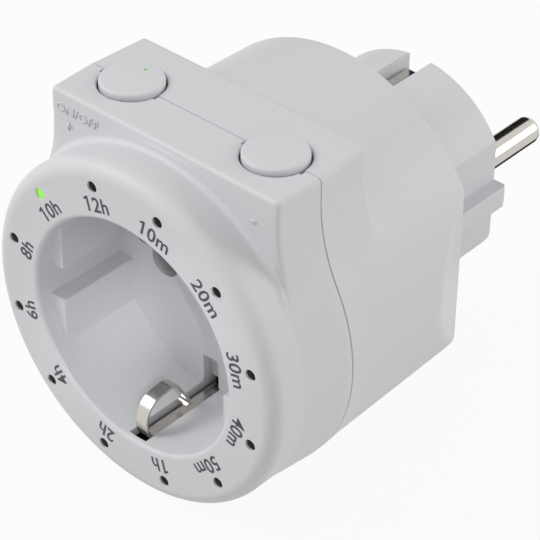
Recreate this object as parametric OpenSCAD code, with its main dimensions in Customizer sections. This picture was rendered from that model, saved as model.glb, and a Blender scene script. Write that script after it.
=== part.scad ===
// Plug-in countdown timer switch: a round socket adapter with a dial ring of lights and a two-button housing.
// Millimetres, +Z up. The origin is the centre of the plug's engagement face, +Y points towards the wall.
// Modules draw x to the right, y up and z forward, away from the wall; stand() turns them into place.

/* [Body] */
// Engagement face to the front face of the ring
body_len = 67.2; // [60:0.1:75]
// Engagement face to the seam between the shells
seam_at = 51.0; // [45:0.1:56]
// Radius of the narrowest part of the ring
waist_r = 28.83; // [26:0.01:32]
// Where the ring starts to widen towards the seam
waist_at = 60.5; // [56:0.1:63]
// How much the ring swells towards the seam
seam_swell = 0.79; // [0.3:0.01:1.2]
// How much the body swells just behind the seam
collar_swell = 0.53; // [0.2:0.01:1]
// Where that radius is reached
collar_at = 47.2; // [42:0.1:50]
// How much the rear rim is smaller than the ring
rear_draw = 0.03; // [0:0.01:0.4]
// Rounding of the ring's front edge
ring_round = 2.4; // [1:0.1:4]
// Rounding of the rear rim
rear_round = 0.8; // [0.3:0.1:2]
// Wall thickness of both shells
wall = 2.0; // [1.5:0.1:3]
// Distance of the side flats inside the rear rim
flat_inset = 4.04; // [3:0.01:5]
// Angle of each side flat to the plug's direction, in degrees
flat_angle = 23.7; // [15:0.1:35]
// Depth and width of the line at the seam
seam_groove = 0.25; // [0.1:0.05:0.6]

/* [Plug] */
// Length of the plug nose
nose_len = 19.9; // [17:0.1:22]
// Radius of the plug nose
nose_r = 18.5; // [17.5:0.1:19.5]
// Rounding of the nose's end
nose_round = 0.4; // [0.2:0.1:1]
// Depth of the nose's side cuts
nose_cut = 2.5; // [1.5:0.1:3]
// Half width of the rib on each side flat
nose_rib = 2.0; // [1:0.1:3]
// Thickness of the nose's end wall
nose_wall = 3.0; // [2:0.1:4]
// Thickness of the nose's wall under the notch
notch_wall = 1.7; // [1.2:0.1:2.5]
// Radius of the two plug pins
pin_r = 2.4; // [2:0.05:2.5]
// Length of the pins beyond the engagement face
pin_len = 19.0; // [17:0.1:20]
// Half the distance between the pins
pin_half = 9.5; // [9:0.05:10]
// Rounding of the pin tips
pin_round = 1.6; // [0.5:0.1:2.2]
// Radius of a pin's seat in the nose's end wall
pin_seat_r = 2.6; // [2.4:0.05:3]
// Radius of the collar that holds a pin in the nose
pin_collar_r = 3.6; // [3:0.1:5]
// Thickness of that collar
pin_collar = 2.0; // [1:0.1:3]
// Radius of a pin's tail in the main board
pin_tail_r = 1.0; // [0.6:0.1:1.5]

/* [Earth contacts] */
// Half width of the notch above and below the nose
notch_half = 2.3; // [2:0.05:3]
// Depth of the notch below the nose's surface
notch_deep = 3.3; // [2.6:0.1:4]
// Half width of the earth strap
strap_half = 1.85; // [1.5:0.05:2.2]
// Thickness of the earth strap
strap_thick = 0.8; // [0.5:0.05:1.2]
// Bend radius of the strap's plug end
strap_bend = 1.4; // [0.8:0.1:2]
// Reach of the strap's bent end below the notch floor
strap_hook = 1.45; // [0.5:0.05:1.6]
// Setback of the strap's plug end behind the engagement face
strap_setback = 0.2; // [0.1:0.05:0.5]
// Distance of the strap's turn behind the contact carrier
strap_clear = 1.4; // [1:0.1:3]
// Half width of the spring clip
clip_half = 1.15; // [0.8:0.05:1.5]
// Thickness of the spring clip
clip_thick = 0.5; // [0.3:0.05:0.8]
// Distance of the clip behind the slot's front end
clip_gap = 0.85; // [0.4:0.05:1.5]
// Height of the clip's crown above the axis, at its front
clip_crown_up = 14.1; // [13:0.05:15]
// How much deeper the upper clip's crown sits than the lower one's
clip_upper_back = 3.6; // [0:0.1:4.5]
// Length of the clip's crown
clip_crown = 6.15; // [4:0.05:8]
// Height of the crown's end above the axis
clip_back_up = 13.35; // [12.5:0.05:15]
// Reach of the clip's leg behind the crown
clip_leg = 3.25; // [2:0.05:5]
// Height of the leg's end above the axis
clip_foot_up = 18.9; // [17:0.05:20]
// Length of the hook at the leg's end
clip_hook = 0.9; // [0.4:0.05:1.5]
// Bend radii of the spring clip: base, front, back and foot
clip_base_bend = 1.3; // [0.6:0.1:2]
// Bend at the front of the crown
clip_front_bend = 3.0; // [1:0.1:4]
// Bend at the back of the crown
clip_back_bend = 1.6; // [0.8:0.1:3]
// Bend at the foot
clip_foot_bend = 0.6; // [0.4:0.05:1]
// Half width of the slot that holds the clip
slot_half = 1.65; // [1.3:0.05:2.2]
// Depth of the slot in the recess wall
slot_deep = 1.75; // [1.2:0.05:2.2]
// Distance of the slot's front end behind the front face
slot_setback = 1.6; // [1:0.1:3]
// Depth of the slot's run into the socket floor
slot_floor_depth = 1.9; // [1:0.1:2.4]
// Height at which that run starts
slot_floor_up = 14.15; // [13:0.05:16]
// Half width and top height of the housing around the slot
slot_housing_half = 2.6; // [2.2:0.1:3.5]
// Wall of the housing around the slot
slot_wall = 0.9; // [0.6:0.05:1.2]
// Half width of the bar that joins the two earth straps
bridge_half = 2.5; // [1.5:0.1:3.5]

/* [Socket] */
// Radius of the socket recess
recess_r = 19.75; // [19.3:0.05:20.2]
// Depth of the socket recess
recess_depth = 17.5; // [17:0.1:18]
// Rounding of the recess lip
lip_round = 0.65; // [0.3:0.05:1.2]
// Play between the socket cup and the rear shell's screw tubes
cup_play = 0.2; // [0.1:0.05:0.4]
// Wall thickness of the socket cup
cup_wall = 1.65; // [1.2:0.05:2]
// Thickness of the socket floor
floor_thick = 3.0; // [2:0.1:4]
// Half width between the guide blocks
guide_half = 16.5; // [16.2:0.05:17]
// Half height of the gap between upper and lower guide block
guide_gap = 3.0; // [2:0.1:4]
// Setback of the guide blocks behind the front face
guide_setback = 2.5; // [1:0.1:4]
// Radius of the two contact holes
contact_hole_r = 2.75; // [2.6:0.05:3]
// Bore radius of a contact tube
tube_bore_r = 2.45; // [2.41:0.01:2.5]
// Outer radius of a contact tube
tube_r = 3.0; // [2.8:0.05:3.4]
// Setback of the contact tubes behind the socket floor
contact_setback = 1.5; // [0.5:0.1:2]
// Thickness of the base of a contact tube
tube_base = 1.6; // [1:0.1:2]
// Width of the slot that splits a contact tube
tube_slot = 0.8; // [0.5:0.05:1.2]
// Length of that slot
tube_slot_len = 9.0; // [6:0.1:12]
// Thickness of the contact carrier behind the socket floor
carrier_thick = 2.5; // [1.5:0.1:3]
// Half width of the contact carrier
carrier_half = 17.0; // [16:0.1:18]
// Half height of the contact carrier
carrier_up = 6.4; // [5:0.1:8]
// Sideways position of the carrier screws
insert_x = 14.2; // [13.5:0.05:15]
// Height of the carrier screws
insert_up = 3.2; // [2.5:0.05:4]
// Radius of a carrier screw's pocket
insert_pocket_r = 2.0; // [1.6:0.05:2.4]
// Depth of that pocket
insert_pocket = 1.6; // [1:0.1:2]
// Radius of a carrier screw's head
insert_head_r = 1.75; // [1.4:0.05:2.1]
// Thickness of a carrier screw's head
insert_head = 0.9; // [0.6:0.05:1.2]
// Radius of a carrier screw's thread
insert_screw_r = 0.9; // [0.7:0.05:1.2]

/* [Dial lights] */
// How far the circle of lights lies outside the middle of their mask
light_shift = 0.32; // [0:0.01:0.5]
// Radius of the light holes
light_hole_r = 0.85; // [0.6:0.05:1.2]
// Radius of a light's lens
lens_r = 0.75; // [0.5:0.05:1]
// Distance from the front face down to the top of a lens
lens_setback = 0.7; // [0.3:0.05:1.6]
// Thickness of the black mask behind the front face
mask_thick = 3.0; // [2:0.1:4]
// Play between the mask and the slot's housing
mask_gap = 0.5; // [0.3:0.05:0.8]
// Play between the mask and the ring's wall
mask_play = 0.23; // [0.1:0.01:0.4]
// Thickness of the light board
light_board = 1.2; // [0.8:0.1:1.6]
// Half size of a light's square base
light_base_half = 1.15; // [0.8:0.05:1.3]
// Height of a light's square base
light_base = 0.9; // [0.6:0.05:1.2]

/* [Button housing] */
// Half width of the button housing
box_half = 22.4; // [20:0.1:24]
// Height of the housing above the ring
box_rise = 2.23; // [1.5:0.01:4]
// Length of the housing in front of the seam
box_front = 8.6; // [7:0.1:9]
// Length of the housing behind the seam
box_back = 10.7; // [8:0.05:12]
// Lean of the housing's rear face, in degrees: its foot lies further back than its top
box_lean = 12.5; // [0:0.5:15]
// Rounding of the housing's top edges
box_round = 0.8; // [0.4:0.1:2]
// Rounding of the housing's upright edges
box_side_round = 0.7; // [0.4:0.1:2]
// Radius of the hollow between housing and ring
box_blend = 29.0; // [20:0.5:40]
// Wall thickness of the housing
box_wall = 1.7; // [1.2:0.1:2.5]
// Distance of the button centres from the housing's sides
button_inset = 8.2; // [7:0.05:9]
// Distance of the button centres behind the seam
button_offset = 0.1; // [0:0.05:0.5]
// Radius of the buttons
button_r = 4.98; // [4:0.01:6]
// Clearance around the buttons
button_gap = 0.3; // [0.1:0.05:0.5]
// Height of the button tops above the housing
button_rise = 0.94; // [0.4:0.02:2]
// Rounding of the button's top edge
button_round = 0.4; // [0.2:0.05:0.8]
// How far the flange reaches beyond the button
flange_reach = 0.57; // [0.4:0.01:0.7]
// Thickness of that flange
button_flange = 1.2; // [0.8:0.05:1.6]
// Play between flange and housing
button_play = 0.2; // [0.1:0.05:0.4]
// Reach of the small notches where the seam meets a button
notch_reach = 0.35; // [0.1:0.05:1]
// Half width of those notches
notch_side = 0.9; // [0.3:0.05:1.5]
// Radius of the status light in the left button
status_r = 0.3; // [0.2:0.05:0.8]
// Distance of the status light behind the button's centre
status_back = 2.8; // [1:0.05:3.6]
// Length of the status light
status_len = 1.4; // [1:0.1:2]

/* [Button board] */
// Gap between the slot's housing and the button board
board_lift = 0.1; // [0.05:0.05:0.4]
// Thickness of the button board
button_board = 1.2; // [0.8:0.1:1.6]
// Play between a board's edge and the shells
board_play = 0.8; // [0.5:0.05:1.2]
// Height of the ledges under the button board
ledge_tall = 2.0; // [1:0.1:3]
// Width of those ledges
ledge_wide = 2.4; // [1.5:0.1:3]
// Half size of a push switch
switch_half = 3.0; // [2.5:0.05:3.5]
// Gap between a push switch and the button's flange
press_gap = 1.26; // [1:0.02:1.6]
// Radius of a switch's plunger
plunger_r = 1.55; // [1.2:0.05:1.8]
// Bore radius of a push switch
plunger_bore_r = 1.9; // [1.5:0.05:2.2]
// Depth of that bore
plunger_bore = 1.5; // [1:0.1:2]
// Distance of the plunger's foot above the bore's bottom
plunger_travel = 0.7; // [0.6:0.05:1]

/* [Main board] */
// Height of the posts that carry the main board
post_tall = 4.5; // [3:0.1:5]
// Thickness of the main board
board_thick = 1.6; // [1:0.1:2]
// Height of the board's posts
post_up = 6.5; // [5:0.1:9]
// Radius of the board's posts
post_r = 1.8; // [1.2:0.1:2.5]

/* [Housing screws] */
// How far the screw bosses sink into the ring's wall
boss_sink = 0.07; // [0.05:0.01:0.3]
// Radius of the screw bosses
boss_r = 3.0; // [2.6:0.05:3.1]
// Radius of the screw pockets
pocket_r = 2.35; // [2:0.05:2.5]
// Where the screw pockets end
pocket_at = 36.0; // [30:0.1:42]
// Radius of the screw heads
head_r = 2.15; // [1.8:0.05:2.3]
// Thickness of the screw heads
head_thick = 1.7; // [1:0.1:2]
// Radius of the screw shanks
shank_r = 1.25; // [1:0.05:1.5]
// Clearance around the shanks in the rear shell
shank_gap = 0.2; // [0.1:0.05:0.4]
// Distance of the screw tips behind the light board
tip_gap = 2.0; // [1:0.1:6]
// Half width of the cross in a screw head
cross_half = 0.35; // [0.2:0.05:0.5]
// Depth of that cross
cross_deep = 0.8; // [0.4:0.05:1]

/* [Relay] */
// Half length of the relay
relay_half = 8.8; // [8:0.1:9.5]
// Distance of the relay from the earth strap
relay_clear = 0.8; // [0.4:0.1:1.2]
// Width of the relay
relay_wide = 10.0; // [8:0.1:10.4]
// Depth of the relay in front of the main board
relay_tall = 12.3; // [10:0.1:13]
// Thickness of the relay's base
relay_base = 1.5; // [1:0.1:2]
// Thickness of the relay's cover
relay_wall = 0.6; // [0.4:0.05:1]
// Sideways position of the coil
coil_x = -2.8; // [-4:0.1:-2]
// Radius of the coil winding
coil_r = 3.5; // [2.5:0.05:3.8]
// Length of the coil winding
coil_len = 5.6; // [4:0.1:7]
// Radius of the bobbin's flanges
bobbin_r = 3.8; // [3:0.05:4.2]
// Thickness of the bobbin's flanges
bobbin_flange = 0.5; // [0.3:0.05:0.8]
// Radius of the bobbin's core tube
bobbin_core_r = 1.9; // [1.6:0.05:2.4]
// Radius of the iron core
core_r = 1.4; // [1:0.05:1.6]
// Radius of the core's pole face
pole_r = 2.2; // [1.8:0.05:2.6]
// Thickness of the core's pole face
pole_thick = 0.6; // [0.4:0.05:1]
// Thickness of yoke and armature
iron_thick = 0.8; // [0.5:0.05:1]
// Half width of yoke and armature
iron_half = 3.0; // [2:0.1:4]
// Gap between the pole face and the open armature
pole_gap = 0.5; // [0.3:0.05:0.8]
// Sideways position of the armature's pivot
pivot_x = -7.8; // [-8.1:0.05:-7]
// Radius of the armature's pivot
pivot_r = 0.4; // [0.3:0.05:0.6]
// Sideways position of the relay's contacts
contact_x = 5.4; // [4:0.1:6.5]
// Thickness of the moving contact's blade
blade_thick = 0.3; // [0.2:0.05:0.5]
// Half width of that blade
blade_half = 1.6; // [1:0.1:2.5]
// Radius of the contact rivets
rivet_r = 1.0; // [0.6:0.05:1.4]
// Height of the contact rivets
rivet_tall = 0.6; // [0.4:0.05:0.9]
// Gap between the open contacts
contact_gap = 0.85; // [0.6:0.05:1.2]

/* [Components] */
// Half length of the film capacitor
film_half = 8.8; // [7:0.1:9]
// Distance of the film capacitor from the contact tubes
film_clear = 1.6; // [0.8:0.1:2]
// Width of the film capacitor
film_wide = 8.2; // [6:0.1:9]
// Depth of the film capacitor
film_tall = 11.4; // [9:0.1:12.5]
// Radius of the electrolytic capacitor
can_r = 4.0; // [3:0.1:4.2]
// Length of the electrolytic capacitor
can_tall = 11.0; // [8:0.1:14]
// Sideways position of the electrolytic capacitor
can_x = 18.8; // [18:0.1:20]
// Height of the electrolytic capacitor above the axis
can_up = 7.4; // [6:0.1:8]
// Radius of the varistor disc
varistor_r = 4.5; // [3:0.1:5]
// Thickness of the varistor disc
varistor_thick = 3.2; // [2:0.1:4]
// Sideways position of the varistor
varistor_x = 18.0; // [17:0.1:20]
// Height of the varistor below the axis
varistor_down = 6.0; // [4:0.1:8]
// Radius of the component leads
lead_r = 0.4; // [0.3:0.05:0.6]
// Length of the varistor's leads
lead_len = 1.6; // [1:0.1:3]
// Radius of the fuse
fuse_r = 2.2; // [1.5:0.1:2.6]
// Length of the fuse
fuse_len = 12.0; // [8:0.1:15]
// Length of the fuse's end caps
fuse_cap = 2.2; // [1.5:0.1:3]
// Sideways position of the fuse
fuse_x = 19.6; // [18:0.1:21]
// Radius of a resistor's body
resistor_r = 1.3; // [1:0.05:2]
// Length of a resistor's body
resistor_len = 6.0; // [4:0.1:9]
// Sideways position of the resistors
resistor_x = 15.0; // [14.5:0.1:16]
// Height of the resistors above and below the axis
resistor_up = 6.5; // [5:0.1:8]
// Radius of a diode's body
diode_r = 1.2; // [0.8:0.05:1.5]
// Length of a diode's body
diode_len = 4.4; // [3:0.1:6]
// Sideways distance between the diodes
diode_step = 3.4; // [2.8:0.1:5]
// Height of the diodes below the axis
diode_down = 19.6; // [18.5:0.1:21]
// Half length of the microcontroller
chip_half = 5.0; // [3:0.1:6]
// Half height of the microcontroller
chip_side = 2.0; // [1.5:0.1:3]
// Thickness of the microcontroller
chip_thick = 1.5; // [1:0.1:2]
// Height of the microcontroller above the axis
chip_up = 7.5; // [6:0.1:9]
// Distance between the microcontroller's legs
chip_pitch = 1.27; // [0.6:0.01:1.5]
// Half width of a microcontroller leg
leg_half = 0.2; // [0.1:0.05:0.4]
// Reach of a microcontroller leg
leg_reach = 1.0; // [0.5:0.05:1.5]
// Radius of one wire of the ribbon cables
wire_r = 0.66; // [0.64:0.01:0.8]
// Distance between the wires of the ribbon cables
wire_step = 1.27; // [1:0.01:1.27]
// Thickness of the busbars on the main board
bar_thick = 0.6; // [0.4:0.05:1]
// Half width of the busbars
bar_half = 1.5; // [1:0.1:2.5]

/* [Hidden] */
$fn = 96;
over = 0.5;
lights = 12;
first_light = -15;
lit_light = 11;
bend_steps = 6;
seam_r = waist_r + seam_swell;
collar_r = waist_r + collar_swell;
rear_r = waist_r - rear_draw;
flat_half = rear_r - flat_inset;
nose_flat = nose_r - nose_cut;
floor_at = body_len - recess_depth;
cup_r = recess_r + cup_wall;
cup_back_at = floor_at - floor_thick;
contact_at = cup_back_at - contact_setback;
front_in = body_len - wall;
rear_in = nose_len + wall;
wall_slope = wall / cos(flat_angle);
notch_floor = nose_r - notch_deep;
strap_mid = notch_floor + strap_thick / 2;
strap_end_up = notch_floor - strap_hook;
slot_up = recess_r + slot_deep;
slot_housing_up = slot_up + slot_wall;
slot_front_at = body_len - slot_setback;
clip_base_up = slot_up - clip_thick;
clip_front_at = slot_front_at - clip_gap;
clip_back_at = clip_front_at - clip_crown;
clip_foot_at = clip_back_at - clip_leg;
mask_in_r = slot_housing_up + mask_gap;
mask_out_r = waist_r - wall - mask_play;
light_circle_r = (mask_in_r + mask_out_r) / 2 + light_shift;
mask_at = front_in - mask_thick;
light_board_at = mask_at - light_board;
board_at = rear_in + post_tall;
board_face = board_at + board_thick;
board_r = rear_r - wall - board_play;
board_half = flat_half + (board_at - nose_len) * tan(flat_angle) - wall_slope - board_play;
post_x = nose_r + post_r + board_play / 4;
ribbon_x = mask_in_r + 2 * wire_r;
screw_ring_r = waist_r - wall - boss_r + boss_sink;
screw_tip_at = light_board_at - tip_gap;
box_up = waist_r + box_rise;
box_front_at = seam_at + box_front;
box_back_at = seam_at - box_back;
box_foot_at = box_back_at - box_up * tan(box_lean);
button_at = seam_at - button_offset;
button_half = box_half - button_inset;
button_up = box_up + button_rise;
button_flange_r = button_r + flange_reach;
button_board_up = slot_housing_up + board_lift;
button_board_half = box_half - box_wall - board_play;
button_board_front = box_front_at - box_wall - board_play;
button_board_back = box_back_at + box_wall + board_play;
ribbon_up = button_board_up + button_board / 2;
flange_up = box_up - box_wall - button_play;
switch_up = button_board_up + button_board;
switch_top = flange_up - button_flange - press_gap;
plunger_low = switch_top - plunger_bore + plunger_travel;
carrier_at = cup_back_at - carrier_thick;
strap_turn_at = carrier_at - strap_clear;
bridge_at = strap_turn_at - 2 * strap_thick;
relay_low = notch_floor - relay_clear;
relay_high = relay_low - relay_wide;
film_low = tube_r + film_clear;
film_high = film_low + film_wide;
coil_mid_up = -(relay_low + relay_high) / 2;
bobbin_at = board_face + relay_base;
winding_at = bobbin_at + bobbin_flange;
pole_at = winding_at + coil_len + bobbin_flange;
armature_at = pole_at + pole_thick + pole_gap;
yoke_top = armature_at - pivot_r - pole_gap / 10;
rivet_face = armature_at - rivet_tall;
anvil_top = rivet_face - contact_gap;
blend_up = sqrt(pow(waist_r + box_blend, 2) - pow(box_half + box_blend, 2));
blend_touch = waist_r / (waist_r + box_blend);

function unit(v) = v / norm(v);
function turned(v) = [-v[1], v[0]];

// Points of the arc of radius r that rounds the corner b between a and c
function corner(a, b, c, r) =
  let (u = unit(a - b), v = unit(c - b), half = acos(u * v) / 2)
  let (centre = b + unit(u + v) * r / sin(half))
  let (p = b + u * r / tan(half) - centre, q = b + v * r / tan(half) - centre)
  let (start = atan2(p[1], p[0]), sweep = atan2(p[0] * q[1] - p[1] * q[0], p * q))
  [for (i = [0:bend_steps])
    centre + r * [cos(start + sweep * i / bend_steps), sin(start + sweep * i / bend_steps)]];

// A line through the points with its corners rounded
function rounded(points, radii) = concat(
  [points[0]],
  [for (i = [1:len(points) - 2]) each corner(points[i - 1], points[i], points[i + 1], radii[i - 1])],
  [points[len(points) - 1]]
);

// Sideways direction at one point of a line, long enough to keep an even thickness
function aside(line, i) =
  let (before = unit(line[max(i, 1)] - line[max(i, 1) - 1]))
  let (after = unit(line[min(i, len(line) - 2) + 1] - line[min(i, len(line) - 2)]))
  let (mean = unit(turned(before) + turned(after)))
  mean / (mean * turned(before));

// Outline of a strip of even thickness along a line
function strip(line, thick) = concat(
  [for (i = [0:len(line) - 1]) line[i] + aside(line, i) * thick / 2],
  [for (i = [len(line) - 1:-1:0]) line[i] - aside(line, i) * thick / 2]
);

module stand() rotate([90, 0, 0]) children();

// An outline drawn as forward and up, made thick sideways
module sideways(half)
  rotate([0, -90, 0]) translate([0, 0, -half]) linear_extrude(height = 2 * half) children();

// An outline drawn as sideways and forward, made thick upwards
module upwards(low, high)
  rotate([90, 0, 0]) translate([0, 0, -high]) linear_extrude(height = high - low) children();

// An outline drawn as sideways and up, made thick forwards
module forwards(back, front) translate([0, 0, back]) linear_extrude(height = front - back) children();

module block(x0, x1, y0, y1, z0, z1) translate([x0, y0, z0]) cube([x1 - x0, y1 - y0, z1 - z0]);

module rod(r, back, front) translate([0, 0, back]) cylinder(r = r, h = front - back);

// A round piece that stands up from the height low to the height high
module upright(r, x, at, low, high)
  translate([x, low, at]) rotate([-90, 0, 0]) cylinder(r = r, h = high - low);

module mirrored() {
  children();
  mirror([1, 0, 0]) children();
}

module at_screws() {
  for (a = [45, 135, 225, 315])
    rotate([0, 0, a]) translate([screw_ring_r, 0, 0]) children();
}

module at_lights(which) {
  for (i = which)
    rotate([0, 0, -first_light - 360 / lights * i]) translate([0, light_circle_r, 0]) children();
}

// Rectangle with rounded corners
module soft_rectangle(x0, x1, y0, y1, r) {
  translate([x0 + r, y0]) square([x1 - x0 - 2 * r, y1 - y0]);
  translate([x0, y0 + r]) square([x1 - x0, y1 - y0 - 2 * r]);
  for (x = [x0 + r, x1 - r])
    for (y = [y0 + r, y1 - r])
      translate([x, y]) circle(r = r);
}

// Filler between the housing's side and the round body, hollowed by a circle
module blend_outline() {
  difference() {
    polygon([
      [box_half, blend_up],
      (box_half + box_blend) * blend_touch * [1, 0] + blend_up * blend_touch * [0, 1],
      [box_half - wall, blend_up * blend_touch - wall],
      [box_half - wall, blend_up]
    ]);
    translate([box_half + box_blend, blend_up]) circle(r = box_blend);
  }
}

// The housing seen from its side: a leaning rear face, an upright front face and rounded top corners
module box_side_outline() {
  turn_at = box_back_at + box_round * (1 - sin(box_lean)) / cos(box_lean);
  difference() {
    soft_rectangle(box_foot_at, box_front_at, 0, box_up, box_round);
    polygon([
      [box_foot_at - over, 0],
      [box_foot_at, 0],
      [turn_at - box_round * cos(box_lean), box_up - box_round * (1 - sin(box_lean))],
      [turn_at, box_up - box_round],
      [turn_at, box_up + over],
      [box_foot_at - over, box_up + over]
    ]);
  }
  translate([turn_at, box_up - box_round]) circle(r = box_round);
}

module box_solid(back, front) intersection() {
  union() {
    intersection() {
      forwards(back, front) soft_rectangle(-box_half, box_half, 0, box_up, box_round);
      upwards(-over, box_up + over)
        soft_rectangle(-box_half, box_half, box_foot_at, box_front_at, box_side_round);
    }
    mirrored() forwards(back, front) blend_outline();
  }
  sideways(seam_r) box_side_outline();
}

module box_hollow(back, front)
  block(-box_half + box_wall, box_half - box_wall, cup_r - wall, box_up - box_wall, back, front);

// Wells for the buttons, with a small notch on each side where the seam passes
module button_wells() {
  mirrored() {
    upright(button_r + button_gap, button_half, button_at, box_up - box_wall - over, box_up + over);
    block(button_half - button_r - button_gap - notch_reach,
      button_half + button_r + button_gap + notch_reach,
      box_up - box_wall - over, box_up + over, seam_at - notch_side, seam_at + notch_side);
  }
}

module flat_prism(half, back) {
  upwards(-seam_r, seam_r)
    polygon([[-half, back], [half, back], [half + (seam_at - back) * tan(flat_angle), seam_at + over],
      [-half - (seam_at - back) * tan(flat_angle), seam_at + over]]);
}

module clip_line(side, deeper) {
  line = rounded([
    [strap_turn_at + strap_thick / 2, clip_base_up],
    [clip_front_at - deeper, clip_base_up],
    [clip_front_at - deeper, clip_crown_up],
    [clip_back_at - deeper, clip_back_up],
    [clip_foot_at - deeper, clip_foot_up],
    [clip_foot_at - deeper + clip_hook, clip_foot_up + clip_hook / 2]
  ], [clip_base_bend, clip_front_bend, clip_back_bend, clip_foot_bend]);
  sideways(side) polygon(strip(line, clip_thick));
}

module front_shell() color("#c8c8cb") stand() {
  difference() {
    union() {
      difference() {
        union() {
          rotate_extrude() {
            polygon([[0, seam_at], [seam_r, seam_at], [waist_r, waist_at], [waist_r, body_len - ring_round],
              [waist_r - ring_round, body_len], [0, body_len]]);
            translate([waist_r - ring_round, body_len - ring_round]) intersection() {
              circle(r = ring_round);
              translate([-ring_round / 2, -ring_round / 2]) square([2 * ring_round, 2 * ring_round]);
            }
          }
          box_solid(seam_at, box_front_at);
        }
        rotate_extrude()
          polygon([[0, seam_at - over], [seam_r - wall, seam_at - over], [waist_r - wall, waist_at],
          [waist_r - wall, front_in], [0, front_in]]);
        box_hollow(seam_at - over, box_front_at - box_wall);
      }
      rod(cup_r, cup_back_at, body_len - wall / 2);
      block(-slot_housing_half, slot_housing_half, cup_r - wall, slot_housing_up,
        cup_back_at, body_len - wall / 2);
      block(-slot_housing_half, slot_housing_half, -slot_housing_up, wall - cup_r,
        cup_back_at, body_len - wall / 2);
      at_screws() rod(boss_r, seam_at, light_board_at);
      mirrored() block(box_half - box_wall - ledge_wide, box_half - box_wall / 2,
        button_board_up - ledge_tall, button_board_up, seam_at, box_front_at - box_wall / 2);
    }
    difference() {
      rotate_extrude() {
        translate([0, cup_back_at - over]) square([recess_r, body_len - cup_back_at + 2 * over]);
        difference() {
          translate([recess_r - over, body_len - lip_round]) square([lip_round + over, lip_round + over]);
          translate([recess_r + lip_round, body_len - lip_round]) circle(r = lip_round);
        }
      }
      mirrored() {
        block(guide_half, recess_r + over, guide_gap, recess_r, floor_at, body_len - guide_setback);
        block(guide_half, recess_r + over, -recess_r, -guide_gap, floor_at, body_len - guide_setback);
      }
    }
    for (s = [0, 180]) rotate([0, 0, s])
      block(-slot_half, slot_half, recess_r - over, slot_up, cup_back_at - over, slot_front_at);
    at_lights([0:lights - 1]) rod(light_hole_r, front_in - over, body_len + over);
    at_screws() rod(shank_r, seam_at - over, screw_tip_at + over);
    button_wells();
  }
}

// The plate at the bottom of the socket, which the two insert screws clamp to the contact carrier
module socket_floor() color("#c8c8cb") stand() difference() {
  rod(recess_r, cup_back_at, floor_at);
  for (s = [0, 180]) rotate([0, 0, s])
    block(-slot_half, slot_half, slot_floor_up, recess_r + over,
      floor_at - slot_floor_depth, floor_at + over);
  mirrored() translate([pin_half, 0, 0]) rod(contact_hole_r, cup_back_at - over, floor_at + over);
  for (s = [-1, 1]) translate([-s * insert_x, s * insert_up, 0]) {
    rod(insert_pocket_r, floor_at - insert_pocket, floor_at + over);
    rod(insert_screw_r, cup_back_at - over, floor_at);
  }
}

// The plug nose, as wide as the opening for it in the rear wall
module nose_outline_turned(front) {
  rotate_extrude() {
    square([nose_r - nose_round, front]);
    translate([0, nose_round]) square([nose_r, front - nose_round]);
    translate([nose_r - nose_round, nose_round]) circle(r = nose_round);
  }
}

module plug_nose() color("#c8c8cb") stand() difference() {
  nose_outline_turned(rear_in);
  intersection() {
    rod(nose_r - wall, nose_wall, rear_in + over);
    block(wall - nose_flat, nose_flat - wall, notch_wall - notch_floor, notch_floor - notch_wall,
      nose_wall, rear_in + over);
  }
  mirrored() {
    block(nose_flat, nose_r + over, nose_rib, nose_r, -over, nose_len);
    block(nose_flat, nose_r + over, -nose_r, -nose_rib, -over, nose_len);
    translate([pin_half, 0, 0]) rod(pin_seat_r, -over, nose_wall + over);
  }
  for (s = [0, 180]) rotate([0, 0, s]) {
    block(-notch_half, notch_half, notch_floor, nose_r + over, -over, nose_len);
    block(-notch_half, notch_half, strap_end_up, notch_floor + over, -over, strap_setback + strap_bend);
    block(-strap_half, strap_half, notch_floor, notch_floor + strap_thick, nose_len - over, rear_in + over);
  }
}

module rear_shell() color("#c8c8cb") stand() {
  difference() {
    union() {
      difference() {
        union() {
          intersection() {
            rotate_extrude() {
              polygon([[0, nose_len], [rear_r - rear_round, nose_len], [rear_r, nose_len + rear_round],
                [collar_r, collar_at], [seam_r - seam_groove / 2, seam_at - seam_groove],
                [seam_r - wall / 2, seam_at - seam_groove], [seam_r - wall / 2, seam_at], [0, seam_at]]);
              translate([rear_r - rear_round, nose_len + rear_round]) circle(r = rear_round);
            }
            flat_prism(flat_half, nose_len);
          }
          box_solid(box_foot_at, seam_at - seam_groove);
          forwards(seam_at - seam_groove - over, seam_at)
            soft_rectangle(-box_half + seam_groove, box_half - seam_groove,
              0, box_up - seam_groove, box_round);
        }
        intersection() {
          rotate_extrude() polygon([[0, rear_in], [rear_r - wall, rear_in], [collar_r - wall, collar_at],
            [seam_r - wall, seam_at + over], [0, seam_at + over]]);
          flat_prism(flat_half + wall * tan(flat_angle) - wall_slope, rear_in);
        }
        box_hollow(box_back_at + box_wall, seam_at + over);
        rod(nose_r, nose_len - over, rear_in + over);
      }
      at_screws() rod(boss_r, nose_len + wall / 2, seam_at);
      mirrored()
        for (y = [-post_up, post_up])
          translate([post_x, y, 0]) rod(post_r, nose_len + wall / 2, board_at);
      mirrored() block(box_half - box_wall - ledge_wide, box_half - box_wall / 2,
        button_board_up - ledge_tall, button_board_up, box_back_at + box_wall / 2, seam_at);
    }
    at_screws() {
      rod(pocket_r, nose_len - over, pocket_at);
      rod(shank_r + shank_gap, pocket_at - over, seam_at + over);
    }
    rod(cup_r + cup_play, cup_back_at - cup_play, seam_at + over);
    button_wells();
  }
}

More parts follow.
